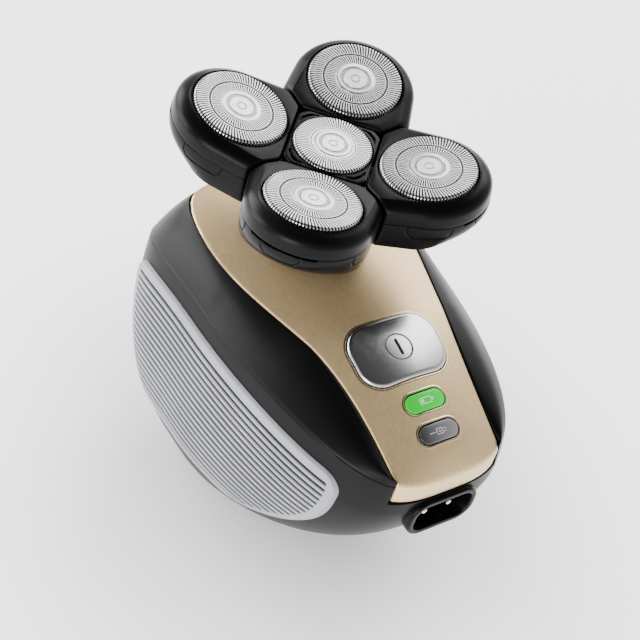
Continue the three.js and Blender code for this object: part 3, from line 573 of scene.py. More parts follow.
def panel_sheet(depth):
    """Rows up the lip, round its bend and back to the tail; columns across, with a rolled edge at each side.
    The bend is a quadratic curve between the lip's top and a point 1.1 mm back on the crown."""
    roll = np.array([0, 0.5, 0.85, 1.0]) * math.pi / 2
    flat = np.linspace(-1, 1, 111)
    share = np.concatenate([-np.ones(4), flat[1:-1], np.ones(4)])
    out = np.concatenate([-0.4 * np.sin(roll[::-1]), np.zeros(109), 0.4 * np.sin(roll)])
    drop = np.concatenate([(1 - np.cos(roll[::-1])), np.zeros(109), (1 - np.cos(roll))]) * 0.4
    drop = np.maximum(drop, depth)
    lip_x = share * (LIP_HALF - 0.4) + out
    front = nose_y(lip_x) + depth + (drop if depth == 0 else 0)
    bend_top = crown_level(lip_x, nose_y(lip_x))
    lip_z = np.array([-49, -48.9, -48.6, -48, -47])[:, None]
    lip_in = np.array([0.3, 0.12, 0, 0, 0])[:, None] * (depth == 0)
    lip = np.stack([lip_x + 0 * lip_z, front + lip_in, np.minimum(lip_z, bend_top - 1.1)], -1)
    t = np.linspace(0, 1, 7)[:, None]
    back = front + 1.1
    after = crown_level(lip_x, back) - drop
    first, second, third = (1 - t) ** 2, 2 * t * (1 - t), t**2
    bend = np.stack([lip_x + 0 * t, first * front + second * front + third * back,
                     first * (bend_top - 1.1) + second * (bend_top - drop) + third * after], -1)
    stations = np.concatenate([np.linspace(0, 0.235, 44)[1:], np.linspace(0.235, 0.43, 52)[1:],
                               np.linspace(0.43, 0.93, 26)[1:],
                               1 - 0.07 * 0.55 ** np.arange(1, 10), [0.9995]])
    y = back + (MIDDLE + PANEL_BACK - back) * stations[:, None]
    corner = (1 - np.clip((y - MIDDLE) / PANEL_BACK, 0, 0.9995) ** 10) ** 0.1
    x = share * (panel_half_width(y) * corner - 0.4) + out
    top = np.stack([x, y, crown_level(x, y) - drop], -1)
    return np.concatenate([lip, bend, top])


def inside_outline(x, y, size, grow):
    """True inside a rectangle with round corners, from the distance to its core rectangle."""
    width, length, radius = size
    dx = np.maximum(np.abs(x) - (width / 2 - radius), 0)
    dy = np.maximum(np.abs(y) - (length / 2 - radius), 0)
    return np.hypot(dx, dy) < radius + grow


def lean(y):
    """The crown's slope along the middle line at y, as an angle."""
    return np.arctan2(crown_level(0, y + 1) - crown_level(0, y - 1), 2)


outer, inner = panel_sheet(0.0), panel_sheet(SKIN)
rows, cols = outer.shape[:2]
quads = grid_faces(rows, cols, round_cols=False)
middle = outer.reshape(-1, 3)[quads].mean(1)
holes = np.hypot(middle[:, 0], middle[:, 1]) < PANEL_NECK_HOLE
for size, y in ((BUTTON, BUTTON_Y), (LENS, LENS_Y[0]), (LENS, LENS_Y[1])):
    holes |= inside_outline(middle[:, 0], (middle[:, 1] - y) / math.cos(lean(y)), size, 0.55)
points, faces = trimmed(*walled(outer.reshape(-1, 3), inner.reshape(-1, 3), quads[~holes]))
piece("panel_skin", points, faces, "handset", champagne, ["front_panel"])

# ---------------------------------------------------------------- button, lenses and their bezels
# A plated zinc button with a raised ring, a dark bar and ring of painted shade, and two clear lenses over the
# lamps.
# Each sits in a bevelled bezel of the panel's own colour, pressed in, with a narrow dark seam round it.


def on_crown(flat, height, y):
    """Lays points drawn on a flat plan over the crown at y, each raised by its height."""
    along = y + flat[..., 1] * math.cos(lean(y))
    return np.stack([flat[..., 0], along - height * math.sin(lean(y)),
                     crown_level(flat[..., 0], along) + height * math.cos(lean(y))], -1)


def swept(size, y, profile, count):
    """A closed ring: a profile of (outwards, height) carried round a rectangle with round corners."""
    point, facing = round_corners(*size, count)
    grid = np.stack([on_crown(point + facing * out, height + 0 * point[:, 0], y) for out, height in profile])
    return grid.reshape(-1, 3), [grid_faces(*grid.shape[:2], round_rows=True)]


def pad(size, y, rim, dome, floor, count):
    """A closed pad: underside, side, rounded rim of (inset, height) points, and a top that shrinks to its
    middle while it rises by dome as one minus the square of the share."""
    point, facing = round_corners(*size, count)
    rows = [on_crown(point * k, floor + 0 * point[:, 0], y) for k in (0.1, 0.5, 0.9)]
    rows += [on_crown(point - facing * inset, height + 0 * point[:, 0], y)
             for inset, height in [(0, floor), *rim]]
    inset, height = rim[-1]
    core = point - facing * inset
    for k in (0.97, 0.9, 0.8, 0.7, 0.58, 0.45, 0.3, 0.15, 0.05):
        rows.append(on_crown(core * k, height + dome * (1 - k * k) + 0 * point[:, 0], y))
    return closed_skin(np.array(rows))


bezel = [(0.3, -1.0), (0.95, -1.0), (0.95, -0.02), (0.8, 0.06), (0.55, 0.1), (0.38, 0.06), (0.3, -0.06)]
bezel_gold = plated("bevelled_champagne_edge", "#dcc7a4", 0.26)
for name, size, y in (("button", BUTTON, BUTTON_Y), ("battery", LENS, LENS_Y[0]),
                      ("charge", LENS, LENS_Y[1])):
    points, faces = swept(size, y, bezel, 220)
    piece(name + "_bezel", points, faces, "handset", bezel_gold)
    if name != "button":
        points, faces = swept(size, y, [(0.02, -1.2), (0.34, -1.2), (0.34, -0.35), (0.02, -0.35)], 160)
        piece(name + "_seam", points, faces, "handset", boss_black)

# Zinc die casting, satin nickel plated: a soft, bright metal with fine streaks across it.
satin_nickel = plated("satin_nickel_plate", "#cbcbcd", 0.22, 0.8, 0.01)
rim = [(0, 0.1), (0.1, 0.34), (0.3, 0.52), (0.6, 0.62), (1.0, 0.66)]
points, faces = pad(BUTTON, BUTTON_Y, rim, 0.04, -2.3, 220)
piece("button_cap", points, faces, "button", satin_nickel, ["power_button"])
mark_ring = [(0.16, 0.6), (-0.16, 0.6), (-0.14, 0.76), (-0.06, 0.82), (0.06, 0.82), (0.14, 0.76)]
points, faces = swept((7.5, 7.5, 3.75), BUTTON_Y, mark_ring, 120)
piece("button_ring", points, faces, "button", satin_nickel)
symbol_shade_fill = moulded("painted_symbol_shade", "#0c0c0d", "#111112", 0.4, 0.4)  # painted shade in the symbol's cut bar and ring
points, faces = pad((0.9, 4.6, 0.42), BUTTON_Y, [(0, 0.7), (0.1, 0.78), (0.25, 0.8)], 0.0, 0.5, 60)
piece("button_bar_shade", points, faces, "button", symbol_shade_fill)
shade_ring = [(0.15, 0.5), (-0.15, 0.5), (-0.15, 0.7), (-0.1, 0.725), (0.1, 0.725), (0.15, 0.7)]
points, faces = swept((6.88, 6.88, 3.44), BUTTON_Y, shade_ring, 120)
piece("button_ring_shade", points, faces, "button", symbol_shade_fill)


def lamp_lens(name, low, high, glow, strength):
    """Clear polycarbonate over a lamp: glossy, its colour rising along X by a smooth ramp of painted shading,
    with some glow.
    """
    made, tree = new_finish(name)
    spot = node(tree, "TexCoord").outputs["Object"]
    x = node(tree, "SeparateXYZ", {"Vector": spot}).outputs["X"]
    cloud = node(tree, "TexNoise", {"Vector": spot, "Scale": 500.0, "Detail": 2.0}).outputs["Fac"]
    share = node(tree, "MapRange", {"Value": x, "From Min": -0.0058, "From Max": 0.0058}).outputs[0]
    faint = node(tree, "Math", {0: cloud, 1: 0.12}, operation="MULTIPLY").outputs[0]
    share = node(tree, "Math", {0: share, 1: faint}, operation="ADD").outputs[0]
    shader = node(tree, "BsdfPrincipled", {
        "Base Color": two_stops(tree, share, low, high, 0.1, 1.0), "Roughness": 0.16, "IOR": 1.58,
        "Specular IOR Level": 0.25, "Emission Color": linear(glow), "Emission Strength": strength})
    node(tree, "OutputMaterial", {"Surface": shader.outputs[0]})
    return made


green_lamp = lamp_lens("lit_green_polycarbonate", "#008c22", "#12c442", "#00ff20", 0.4)
smoke_lamp = lamp_lens("smoke_polycarbonate", "#2f2f31", "#8a8a8c", "#808080", 0.0)
printed = moulded("pale_printed_ink", "#c9f5d2", "#d5f8dc", 0.3, 0.5, 0.005)  # screen-printed symbol
printed_grey = moulded("grey_printed_ink", "#b9b9bb", "#c6c6c8", 0.3, 0.5, 0.005)
for name, y, lamp, slot in (("battery", LENS_Y[0], green_lamp, "green_lens"),
                            ("charge", LENS_Y[1], smoke_lamp, "smoke_lens")):
    points, faces = pad(LENS, y, [(0, 0.02), (0.08, 0.16), (0.25, 0.26), (0.55, 0.32)], 0.06, -1.5, 160)
    piece(name + "_window", points, faces, "handset", lamp, [name + "_lens"])


def symbol(parts, y):
    """Flat printed shapes, each (x, along, width, length, round), as thin closed pads joined in one mesh."""
    points, faces, count = [], [], 0
    for x, along, width, length, radius in parts:
        p, f = pad((width, length, radius), 0, [(0, 0.0), (0.02, 0.04)], 0.0, -0.2, 24)
        flat = np.stack([p[:, 0] + x, p[:, 1] + along], -1)
        height = p[:, 2] - crown_level(p[:, 0], p[:, 1]) + 0.36
        points.append(on_crown(flat, height, y))
        faces.append([part + count for part in f])
        count += len(p)
    return np.concatenate(points), [np.concatenate(group) for group in zip(*faces)]


points, faces = symbol([
    (0.0, 0.75, 3.4, 0.22, 0.1), (0.0, -0.75, 3.4, 0.22, 0.1), (-1.6, 0, 0.22, 1.6, 0.1),
    (1.6, 0, 0.22, 1.6, 0.1), (2.0, 0, 0.4, 0.7, 0.1), (-0.9, 0, 0.8, 0.9, 0.15)], LENS_Y[0])
piece("battery_symbol", points, faces, "handset", printed)
points, faces = symbol([(0, 0.7, 1.7, 0.2, 0.09), (0, -0.7, 1.7, 0.2, 0.09), (-0.8, 0, 0.2, 1.5, 0.09),
                        (0.8, 0, 0.2, 1.5, 0.09), (1.4, 0.35, 1.1, 0.2, 0.09), (1.4, -0.35, 1.1, 0.2, 0.09),
                        (-1.9, 0, 2.0, 0.2, 0.09), (0, 0, 0.5, 0.6, 0.2)], LENS_Y[1])
piece("plug_symbol", points, faces, "handset", printed_grey)

# ---------------------------------------------------------------- side grips
# Two pads of soft grey TPE moulded over the sides, with a plain border round eighteen long grooves.
# The grooves run side by side under the crease, 2.1 mm apart.
grip_rubber, tree = new_finish("grey_tpe_rubber")  # matt elastomer, with painted shade down in its grooves
spot = node(tree, "TexCoord").outputs["Object"]
groove = node(tree, "Attribute", attribute_name="groove").outputs["Fac"]
grain = node(tree, "TexNoise", {"Vector": spot, "Scale": 1600.0, "Detail": 3.0}).outputs["Fac"]
broad = node(tree, "TexNoise", {"Vector": spot, "Scale": 45.0, "Detail": 2.0}).outputs["Fac"]
# The groove attribute mixes in near-black: painted shade in the grooves.
colour = node(tree, "Mix", {"Factor": groove, "A": two_stops(tree, broad, "#8a8b93", "#94959c"),
                            "B": linear("#08080a")}, data_type="RGBA").outputs["Result"]
shader = node(tree, "BsdfPrincipled", {
    "Base Color": colour,
    "Roughness": node(tree, "MapRange", {"Value": grain, "To Min": 0.5, "To Max": 0.66}).outputs[0],
    "Normal": node(tree, "Bump", {"Height": grain, "Strength": 0.3, "Distance": 0.00003}).outputs[0],
    "Specular IOR Level": 0.12, "Sheen Weight": 0.05, "Sheen Roughness": 0.5})
node(tree, "OutputMaterial", {"Surface": shader.outputs[0]})
GRIP_TOP, GRIP_LOW, PITCH, GROOVES = 5.0, 46.6, 2.1, 18


def side_point(y, below, stand):
    """A point on the lower shell's side, from its y and its distance below the crease, raised by stand: the
    wall or the belly is solved for the angle that has that y."""
    crease = edge_point(-np.arcsin(np.clip((MIDDLE - y) / FRONT_REACH, 0, 1) ** 0.925))[2]
    crease = np.where(y < MIDDLE, crease, -39.3 - 8 * np.clip((y - MIDDLE) / BACK_REACH, 0, 1) ** 3)
    level = crease - below
    depth = np.clip((WALL_END - level) / BELLY_DEPTH, 0, 0.99)
    drop = np.clip((crease - level) / (crease - WALL_END), 0, 1)
    grown = 1 - (1 - drop) ** 2

    def closing(n):
        return (1 - depth**n) ** (1 / n)

    ahead = np.clip((MIDDLE - y) / ((FRONT_REACH + stand) * closing(1.6)), 0, 1)
    behind = np.clip((y - MIDDLE) / ((BACK_REACH - 2 * grown + stand) * closing(1.85)), 0, 1)
    across = np.where(y < MIDDLE, (1 - ahead**1.85) ** (1 / 3.4), (1 - behind**5.2) ** (1 / 5.2))
    return np.stack([across * (HALF_WIDTH + SWELL * grown + stand) * closing(3.84), y, level + 0 * y], -1)


def corner_curve(distance, radius):
    """How far a quarter circle of that radius pulls an edge in, at a distance from the next edge."""
    return radius * (1 - np.sqrt(1 - (1 - np.clip(distance / radius, 0, 1)) ** 2))


def grip_sheet(stand, cut):
    """Rows at each distance below the crease, from the front end back to the tail, whose edge keeps to the
    same share of the belly's reach. Eighteen grooves, 0.5 deep and 1 wide with rounded lips, stop 2.4 mm
    short of the outline; the outer edge rolls down."""
    centres = GRIP_TOP + 3.2 + PITCH * np.arange(GROOVES)
    across = np.array([-1.04, -0.62, -0.5, -0.38, -0.2, 0, 0.2, 0.38, 0.5, 0.62])
    field = (centres[:, None] + across).ravel()
    head = GRIP_TOP + np.array([0, 0.06, 0.18, 0.35, 0.6, 1.0, 1.6])
    tail = np.linspace(field[-1] + 0.4, GRIP_LOW - 0.7, 5)
    below = np.concatenate([head, field, tail, GRIP_LOW - np.array([0.4, 0.2, 0.06, 0])])[:, None]
    front = -62.6 + 19.6 * (np.maximum(0, below - 6.5) / 34) ** 2.4
    front = front + corner_curve(below - GRIP_TOP, 5.0) + corner_curve(GRIP_LOW - below, 4.0)
    deep = np.clip((below - 10.2) / BELLY_DEPTH, 0, 1)
    rear = MIDDLE + 31.4 * (1 - deep**1.85) ** (1 / 1.85)
    rear = rear - corner_curve(below - GRIP_TOP, 4.0) - corner_curve(GRIP_LOW - below, 9.0)
    ends = np.array([0, 0.06, 0.18, 0.4, 0.8, 1.5, 2.1, 2.4, 2.7, 3.1])
    s = np.linspace(0, 1, 150)
    y = front + 3.4 + (rear - front - 6.8) * s
    y = np.concatenate([front + ends, y, rear - ends[::-1]], 1)
    edge = np.minimum(np.minimum(y - front, rear - y), np.minimum(below - GRIP_TOP, GRIP_LOW - below))
    away = np.abs(below - centres[np.abs(below - centres).argmin(1)][:, None])
    cutting = np.clip((0.62 - away) / 0.24, 0, 1) * np.clip((edge - 2.2) / 0.5, 0, 1)
    cutting = cutting * cutting * (3 - 2 * cutting)
    roll = 0.8 * (1 - np.clip(edge / 0.5, 0, 1)) ** 2
    return side_point(y, below + 0 * y, stand - (0.5 * cutting + roll) * cut), cutting


for name, side in (("left", -1), ("right", 1)):
    outer, cutting = grip_sheet(0.95, 1)
    inner, _ = grip_sheet(-0.3, 0)
    rows, cols = outer.shape[:2]
    points, faces = walled(outer.reshape(-1, 3) * [side, 1, 1], inner.reshape(-1, 3) * [side, 1, 1],
                           grid_faces(rows, cols, round_cols=False))
    piece("grip_pad_" + name, points, faces, "handset", grip_rubber, ["grip_" + name],
          marks={"groove": np.concatenate([cutting.ravel(), 0 * cutting.ravel()])})

# ---------------------------------------------------------------- neck
# A black collar snapped into the top shell, with a rubber seal on its flange that the head presses down.
collar = [(10.6, -37), (13, -37), (13, -27.9), (16.3, -27.9), (16.5, -27.7), (16.5, -26.4), (16.3, -26.1),
          (14.2, -26.1), (14.2, -26.3), (13.8, -26.3), (13.8, -26.1), (11, -26.1), (10.6, -26.5)]
points, faces = turned(collar, 128)
piece("collar_ring", points, faces, "handset", black_abs, ["neck_collar"])
seal_rubber = moulded("black_nitrile", "#0d0d0e", "#151516", 0.5, 0.62)  # nitrile: dull black, slightly dusty
bead = np.arange(16) / 16 * 2 * math.pi
points, faces = turned(np.stack([12.4 + 0.95 * np.cos(bead), -25.28 + 0.47 * np.sin(bead)], 1), 128)
piece("seal_ring", points, faces, "handset", seal_rubber, ["neck_seal"])

# ---------------------------------------------------------------- head base and middle holder
# The head's round base plugs into the neck; a small octagon on four posts holds the middle cap.
# Both are moulded in black ABS, the holder with a raised inner rim and four oblong slots in its top.
base = [(8.6, -35), (9.9, -35), (10.3, -34.6), (10.3, -24.5), (16.1, -24.5), (16.4, -24.2),
        (16.4, -22.9), (16.1, -22.6), (15.2, -21.6), (14.4, -20.4), (14, -19), (14.4, -17.6),
        (15.4, -16.2), (15.4, -15), (15.1, -14.7), (7, -14.7), (6.6, -14.3), (6.6, -11.6),
        (6.3, -11.3), (4.4, -11.3), (4.4, -20.8), (8.6, -22)]
points, faces = turned(base, 128)
piece("base_turning", points, faces, "head", black_abs, ["head_base"])


def octagon(turn, flat, corner, cut):
    """Distance to an octagon's side at each angle, cut back by cut: the power mean of its eight sides."""
    eighth = np.arange(8) * math.pi / 4
    side = np.where(np.arange(8) % 2 == 1, flat, corner) - cut
    facing = np.maximum(np.cos(turn[:, None] - eighth), 1e-3)
    return ((side / facing) ** -70.0).sum(1) ** (-1 / 70)


turn = np.arange(480) / 480 * 2 * math.pi
FLAT, CORNER, WELL = 10.55, 13.4, 10.24


def ringed(turn, radius, level):
    """Points at a radius and level for each angle."""
    return np.stack([radius * np.cos(turn), radius * np.sin(turn), level + 0 * turn], -1)


rings = [(0.15, -6.2), (0, -6.05), (0, -1.35), (0.12, -1.15), (0.35, -1.02)]
grid = [ringed(turn, octagon(turn, FLAT, CORNER, cut), z) for cut, z in rings]
# Each slot takes up 15 degrees to each side of a corner, and is 0.6 deep.
from_corner = np.degrees(np.abs((turn + math.pi / 4) % (math.pi / 2) - math.pi / 4))
slotted = 0.6 * np.clip((15 - from_corner) / 1.5, 0, 1)
brow = np.maximum(octagon(turn, FLAT, CORNER, 0.35), WELL + 0.12) - WELL
for share, z, sunk in ((0.68, -1.0, 0), (0.62, -1.0, 1), (0.4, -1.0, 1), (0.34, -0.98, 0),
                       (0.2, -0.9, 0), (0.06, -0.9, 0)):
    grid.append(ringed(turn, WELL + brow * share, z - sunk * slotted))
grid += [ringed(turn, r, z) for r, z in ((WELL, -1.0), (WELL, -5.2), (8.9, -5.2), (8.9, -6.2))]
holder_black = moulded("holder_black_abs", "#050506", "#08080a", 0.5, 0.3, level=0.09)
grid = np.array(grid)
points, faces = grid.reshape(-1, 3), [grid_faces(*grid.shape[:2], round_rows=True)]
piece("holder_octagon", points, faces, "head", holder_black, ["centre_holder"])


def posts(count, shape, low, high):
    """Closed upright posts set evenly round Z, each of one plan outline with bevelled ends, in one mesh."""
    point, facing = shape
    middle, grid = point.mean(0), []
    for inset, z, share in ((0.1, low, 0.2), (0.1, low, 1), (0, low + 0.1, 1), (0, high - 0.1, 1),
                            (0.1, high, 1), (0.1, high, 0.2)):
        flat = middle + (point - facing * inset - middle) * share
        grid.append(np.column_stack([flat, z + 0 * point[:, 0]]))
    p, f = closed_skin(np.array(grid))
    turns = np.arange(count) * 2 * math.pi / count
    c, s = np.cos(turns)[:, None], np.sin(turns)[:, None]
    around_z = np.stack([p[:, 0] * c - p[:, 1] * s, p[:, 0] * s + p[:, 1] * c, p[:, 2] + 0 * c], -1)
    return around_z.reshape(-1, 3), [np.concatenate([part + k * len(p) for k in range(count)]) for part in f]


post_plan, post_facing = round_corners(0.6, 0.6, 0.2, 32)
points, faces = posts(4, (post_plan + [14.2, 0], post_facing), -14.6, -2.6)
piece("holder_posts", points, faces, "head", holder_black)
bridge_plan, bridge_facing = round_corners(1.4, 1.0, 0.2, 32)
points, faces = posts(4, (bridge_plan + [13.8, 0], bridge_facing), -6.1, -2.4)
piece("holder_bridges", points, faces, "head", holder_black)

# ---------------------------------------------------------------- caps
# Cups pressed from thin steel, hardened and lapped, with rings of fine slanted slots that let hair in.
# A plain raised hub in the middle carries turned rings; the slots run out over the rim as small teeth.
lapped, tree = new_finish("lapped_cap_steel")  # lapping leaves fine rings round the axis, 0.2 mm apart
depth = node(tree, "Attribute", attribute_name="slot").outputs["Fac"]
ring = node(tree, "Attribute", attribute_name="ring").outputs["Fac"]
spot = node(tree, "TexCoord").outputs["Object"]
lines = node(tree, "TexNoise", {"W": ring, "Scale": 5.0, "Detail": 3.0}, noise_dimensions="1D").outputs["Fac"]
smear = node(tree, "TexNoise", {"Vector": spot, "Scale": 160.0, "Detail": 2.0}).outputs["Fac"]
metal = two_stops(tree, lines, "#b2b2b4", "#c8c8c9", 0.3, 0.7)
bright = node(tree, "MapRange", {"Value": depth, "To Min": 1.0, "To Max": 0.0})
# Painted shade: the slot attribute turns the slots and the turned grooves near-black and not metallic.
colour = node(tree, "Mix", {"Factor": depth, "A": metal, "B": linear("#050505")},
              data_type="RGBA").outputs["Result"]
rough = node(tree, "MapRange", {"Value": smear, "To Min": 0.2, "To Max": 0.3}).outputs[0]
shader = node(tree, "BsdfPrincipled", {
    "Base Color": colour, "Metallic": bright.outputs[0], "Roughness": rough, "Specular IOR Level": 0.1,
    "Normal": node(tree, "Bump", {"Height": lines, "Strength": 0.12, "Distance": 0.00003}).outputs[0]})
node(tree, "OutputMaterial", {"Surface": shader.outputs[0]})


def cap_grid(radius, rows, slots):
    """Grid of a cap from its hub out over the slots and the rim, down the skirt and back inside to the
    middle. Rows are (radius, level, band or -1, share cut), and slots (count, slant in radians per mm,
    radius where it starts). A slot is 0.28 mm deep on top and is cut inwards on the rim and the skirt.
    The shade it gives back is painted shade, in the slots and, by the share cut, in rows outside a band."""
    table = np.array([row[:3] for row in rows], float)
    sunk = np.array([row[3] for row in rows], float)
    steps = 720
    column = np.arange(steps)
    turn = column / steps * 2 * math.pi
    wave = np.zeros((len(rows), steps))
    slant = np.zeros(len(rows))
    for index, (count, per_mm, start_at) in enumerate(slots):
        here = table[:, 2] == index
        wave[here] = (column % (steps // count) < (steps // count) // 2) * 1.0
        slant[here] = per_mm * (table[here, 0] - start_at)
    wave *= sunk[:, None]
    shade = wave + np.where(table[:, 2] < 0, sunk, 0)[:, None]
    on_top = (table[:, 0] < radius - 0.5)[:, None]
    r = table[:, :1] - 0.22 * wave * ~on_top
    z = table[:, 1:2] - 0.28 * wave * on_top - 0.1 * wave * ~on_top
    angle = turn + slant[:, None]
    return np.stack([r * np.cos(angle), r * np.sin(angle), z], -1), shade, table[:, 0]


def hub_rows(scale=1.0):
    """The hub's turned rings: a fine ring about the middle, one broad shallow groove and a rounded edge; dark
    is painted shade.
    """
    profile = [(0.3, 0, 0), (0.85, 0, 0), (0.95, -0.07, 0.35), (1.25, -0.07, 0.35), (1.35, 0, 0), (2.3, 0, 0),
               (3.0, 0, 0), (3.1, -0.12, 0.45), (3.25, -0.16, 0.4), (3.75, -0.16, 0.4), (3.9, -0.12, 0.45),
               (4.0, 0, 0), (4.3, 0, 0), (4.75, 0, 0), (4.95, -0.05, 0), (5.05, -0.16, 0.5)]
    return [(r * scale, z, -1, dark) for r, z, dark in profile]


def skirt_rows(radius, band):
    """Rim rounded by 0.7 mm, the skirt and the inside of the cup."""
    bend = (0.35, 0.75, 1.15, 1.5)
    arc = [(radius - 0.7 + 0.7 * math.sin(a), -0.15 - 0.7 + 0.7 * math.cos(a)) for a in bend]
    rows = [(r, z, band, 1) for r, z in arc] + [(radius, -1.3, band, 1), (radius, -1.75, band, 1)]
    rows += [(radius, -1.85, band, 0), (radius, -3.2, -1, 0), (radius, -4.5, -1, 0)]
    rows += [(radius - 0.1, -4.6, -1, 0), (radius - 0.45, -4.6, -1, 0), (radius - 0.45, -1.4, -1, 0),
             (radius - 1.0, -0.8, -1, 0), (radius * 0.5, -0.65, -1, 0), (0.5, -0.65, -1, 0)]
    return rows


OUTER_RADIUS, MIDDLE_RADIUS = 12.0, 9.94
outer_rows = hub_rows() + [
    (5.2, -0.16, 0, 0), (5.3, -0.16, 0, 1), (6.1, -0.16, 0, 1), (7.0, -0.16, 0, 1), (7.62, -0.16, 0, 1),
    (7.7, -0.16, 0, 0), (7.8, -0.16, -1, 0.1), (7.87, -0.4, -1, 0.85), (8.3, -0.4, -1, 0.85),
    (8.37, -0.15, -1, 0.1), (8.46, -0.15, 1, 0), (8.56, -0.15, 1, 1), (9.3, -0.15, 1, 1),
    (10.2, -0.15, 1, 1), (10.9, -0.15, 1, 1), (11.3, -0.15, 1, 1)] + skirt_rows(OUTER_RADIUS, 1)
middle_rows = hub_rows(0.92) + [
    (5.0, -0.16, -1, 0), (5.4, -0.16, -1, 0), (5.44, -0.3, -1, 1), (5.6, -0.3, -1, 1), (5.65, -0.15, -1, 0),
    (5.85, -0.15, 0, 0), (5.95, -0.15, 0, 1), (7.0, -0.15, 0, 1), (8.1, -0.15, 0, 1), (8.9, -0.15, 0, 1),
    (9.24, -0.15, 0, 1)] + skirt_rows(MIDDLE_RADIUS, 0)
OUTER_CAP = cap_grid(OUTER_RADIUS, outer_rows, [(72, 0.02, 5.2), (90, 0.022, 8.4)])
MIDDLE_CAP = cap_grid(MIDDLE_RADIUS, middle_rows, [(80, 0.02, 5.85)])


def cap_piece(name, cap, place, body, node_name):
    """One cap, moved into place, with the painted shade of its slots and grooves and its distance from the
    axis as attributes.
    """
    grid, wave, radius = cap
    points, faces = closed_skin(grid)
    slot_shade = np.concatenate([wave.ravel(), [0, 0]])
    ring_mark = np.concatenate([np.repeat(radius, grid.shape[1]), [0, 0]])
    piece(name, place(points), faces, body, lapped, [node_name],
          marks={"slot": slot_shade, "ring": ring_mark})


cap_piece("middle_slotted_cap", MIDDLE_CAP, lambda p: p, "head", "centre_cap")

# ---------------------------------------------------------------- petals
# Four tilting pods round the middle, each a cover and a hollow base snapped together, with a cap on top.
# Black ABS: the outer end is round, the flanks are cut flat so that the four nest.
TILT, REACH, LIFT, END_RADIUS = math.radians(9.55), 23.7, 2.35, 15.76
# The line attribute paints shade into the engraved marks on the petal bases.
petal_black = moulded("petal_black_abs", "#050506", "#08080a", 0.5, 0.3, mark="line", level=0.085)


def petal_radius(turn, level, inset=0.0, ease=0.0):
    """Distance from the cap's axis to the petal's outline: the power mean of a round outer end, two flanks
    and an inner side. The end pulls in as a rounded shoulder above and a bowl below; ease bevels the rest."""
    shoulder = 3 * np.maximum(0, (level + 4.2) / 3.3) ** 2.4
    bowl = 6.6 * np.maximum(0, (-6.8 - level) / 7.2) ** 2.6
    pulled = shoulder + bowl * (0.1 + 0.9 * np.maximum(0, np.cos(turn)) ** 1.3) + inset
    beyond = np.minimum(np.maximum(0, np.abs(turn) - math.radians(84.1)), 1.3)
    end = (END_RADIUS - pulled) / np.cos(beyond)
    across = np.maximum(np.abs(np.sin(turn)) - np.cos(turn) * math.cos(TILT), 1e-3)
    flank = (REACH - level * math.sin(TILT) - 0.4 * math.sqrt(2) - ease * 1.4) / across
    inner = (REACH - level * math.sin(TILT) - 10.85 - ease) / np.maximum(-np.cos(turn) * math.cos(TILT), 1e-3)
    return (end**-64.0 + flank**-64.0 + inner**-64.0) ** (-1 / 64)


STEPS = 540
turn = (np.arange(STEPS) + 0.5) / STEPS * 2 * math.pi - math.pi
plain = (-6.4, -5.6, -4.9, -4.2, -3.7, -3.3, -2.9, -2.5, -2.2, -1.9, -1.65)
cover = [ringed(turn, petal_radius(turn, z, i, e), z) for z, i, e in (
    (-6.6, 0.12, 0.12), (-6.52, 0.03, 0.03), *((z, 0, 0) for z in plain),
    (-1.4, 0, 0.03), (-1.2, 0, 0.1), (-1.05, 0, 0.22))]
edge = petal_radius(turn, -0.98, 0, 0.32)
cover += [ringed(turn, edge + (12.62 - edge) * q, -0.96 + 0.1 * math.sin(math.pi * q)) for q in
          (0.0, 0.06, 0.25, 0.5, 0.75, 0.94, 1.0)]
cover += [ringed(turn, r, z) for r, z in ((12.45, -1.02), (12.33, -1.2), (12.3, -1.5), (12.3, -5.2),
                                          (10.9, -5.2), (10.9, -6.55))]
COVER = np.array(cover)

# The base's wall is open where the gears meet, so its top edge drops on the inner side. A slit under the
# cover runs from 46 degrees one side of the end to 21 the other.
open_side = np.clip((np.degrees(np.abs(turn)) - 141.5) / 3, 0, 1)
slit = 0.5 * np.clip((33.5 - np.abs(np.degrees(turn) + 12.5)) / 1.5, 0, 1)
brim = -6.67 - slit - 5.3 * open_side * open_side * (3 - 2 * open_side)
arc_mm = turn * 16
down = np.concatenate([[0, 0.006, 0.02, 0.045], np.linspace(0.08, 1, 56)])


def stroke(along, level, start, end, width=0.22):
    """Share of an engraved line at each point, from its distance to a straight segment and the width."""
    start, end = np.array(start, float), np.array(end, float)
    run = end - start
    share = np.clip(((along - start[0]) * run[0] + (level - start[1]) * run[1]) / (run @ run), 0, 1)
    gap = np.hypot(along - start[0] - share * run[0], level - start[1] - share * run[1])
    return np.clip((width + 0.14 - gap) / 0.16, 0, 1)


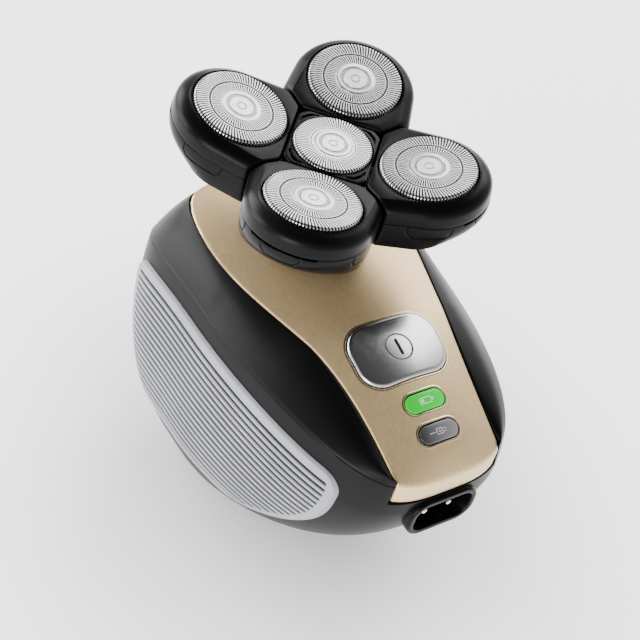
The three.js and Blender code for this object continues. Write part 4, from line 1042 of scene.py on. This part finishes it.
level = -14 + (brim + 14) * (1 - down[:, None])
marks = np.zeros_like(level)
for middle_mm, half_mm in ((-3.5, 5.2), (21.5, 5.6), (-21.5, 5.6)):
    low, left, right_end = -9.9, middle_mm - half_mm, middle_mm + half_mm
    for a, b in (((left + 1.2, low), (right_end - 1.2, low)), ((left, -8.6), (left + 1.2, low)),
                 ((right_end, -8.6), (right_end - 1.2, low)), ((left, -6.9), (left, -8.6)),
                 ((right_end, -6.9), (right_end, -8.6))):
        marks = np.maximum(marks, stroke(arc_mm + 0 * level, level, a, b))
eased = np.array([0.12, 0.05, 0.01, 0] + [0] * 56)[:, None]
outside = petal_radius(turn, level, eased + 0.22 * marks, eased)
wall = ringed(turn, outside, level)
floor = [ringed(turn, petal_radius(turn, -14) * k, -14) for k in (0.97, 0.5, 0.12)]
inside_level = -12.8 + (brim + 12.8) * np.array([0, 0.1, 0.25, 0.5, 0.75, 0.92, 1])[:, None]
hollow = petal_radius(turn, inside_level, 1.2, 0.85)
lining = ringed(turn, hollow, inside_level)
inner_floor = [ringed(turn, hollow[0] * k, -12.8) for k in (0.12, 0.5, 0.9)]
BASE = np.concatenate([floor[::-1], wall[::-1], lining[::-1], inner_floor[::-1]])
BASE_MARKS = np.concatenate([np.zeros((3, STEPS)), marks[::-1], np.zeros((10, STEPS))])

for name, azimuth in (("rear_right", 45), ("rear_left", 135), ("front_left", 225), ("front_right", 315)):
    spin = math.radians(azimuth)

    def placed(points, spin=spin):
        """From the petal's own frame: leaned by the tilt, moved out and up, and turned to its place."""
        x = REACH + points[:, 0] * math.cos(TILT) - points[:, 2] * math.sin(TILT)
        z = LIFT + points[:, 0] * math.sin(TILT) + points[:, 2] * math.cos(TILT)
        return np.stack([x * math.cos(spin) - points[:, 1] * math.sin(spin),
                         x * math.sin(spin) + points[:, 1] * math.cos(spin), z], -1)

    body = "petal_" + name
    faces = [grid_faces(*COVER.shape[:2], round_rows=True)]
    piece("cover_" + name, placed(COVER.reshape(-1, 3)), faces, body, petal_black,
          ["petal_cover_" + name], marks={"line": np.zeros(COVER.shape[0] * STEPS)})
    points, faces = closed_skin(BASE)
    piece("base_" + name, placed(points), faces, body, petal_black, ["petal_base_" + name],
          marks={"line": np.concatenate([BASE_MARKS.ravel(), [0, 0]])})
    cap_piece("slotted_cap_" + name, OUTER_CAP, placed, body, "cap_" + name)
    clad(acetal, "petal_gear_" + name)
    clad(cutter_steel, "cutter_" + name)
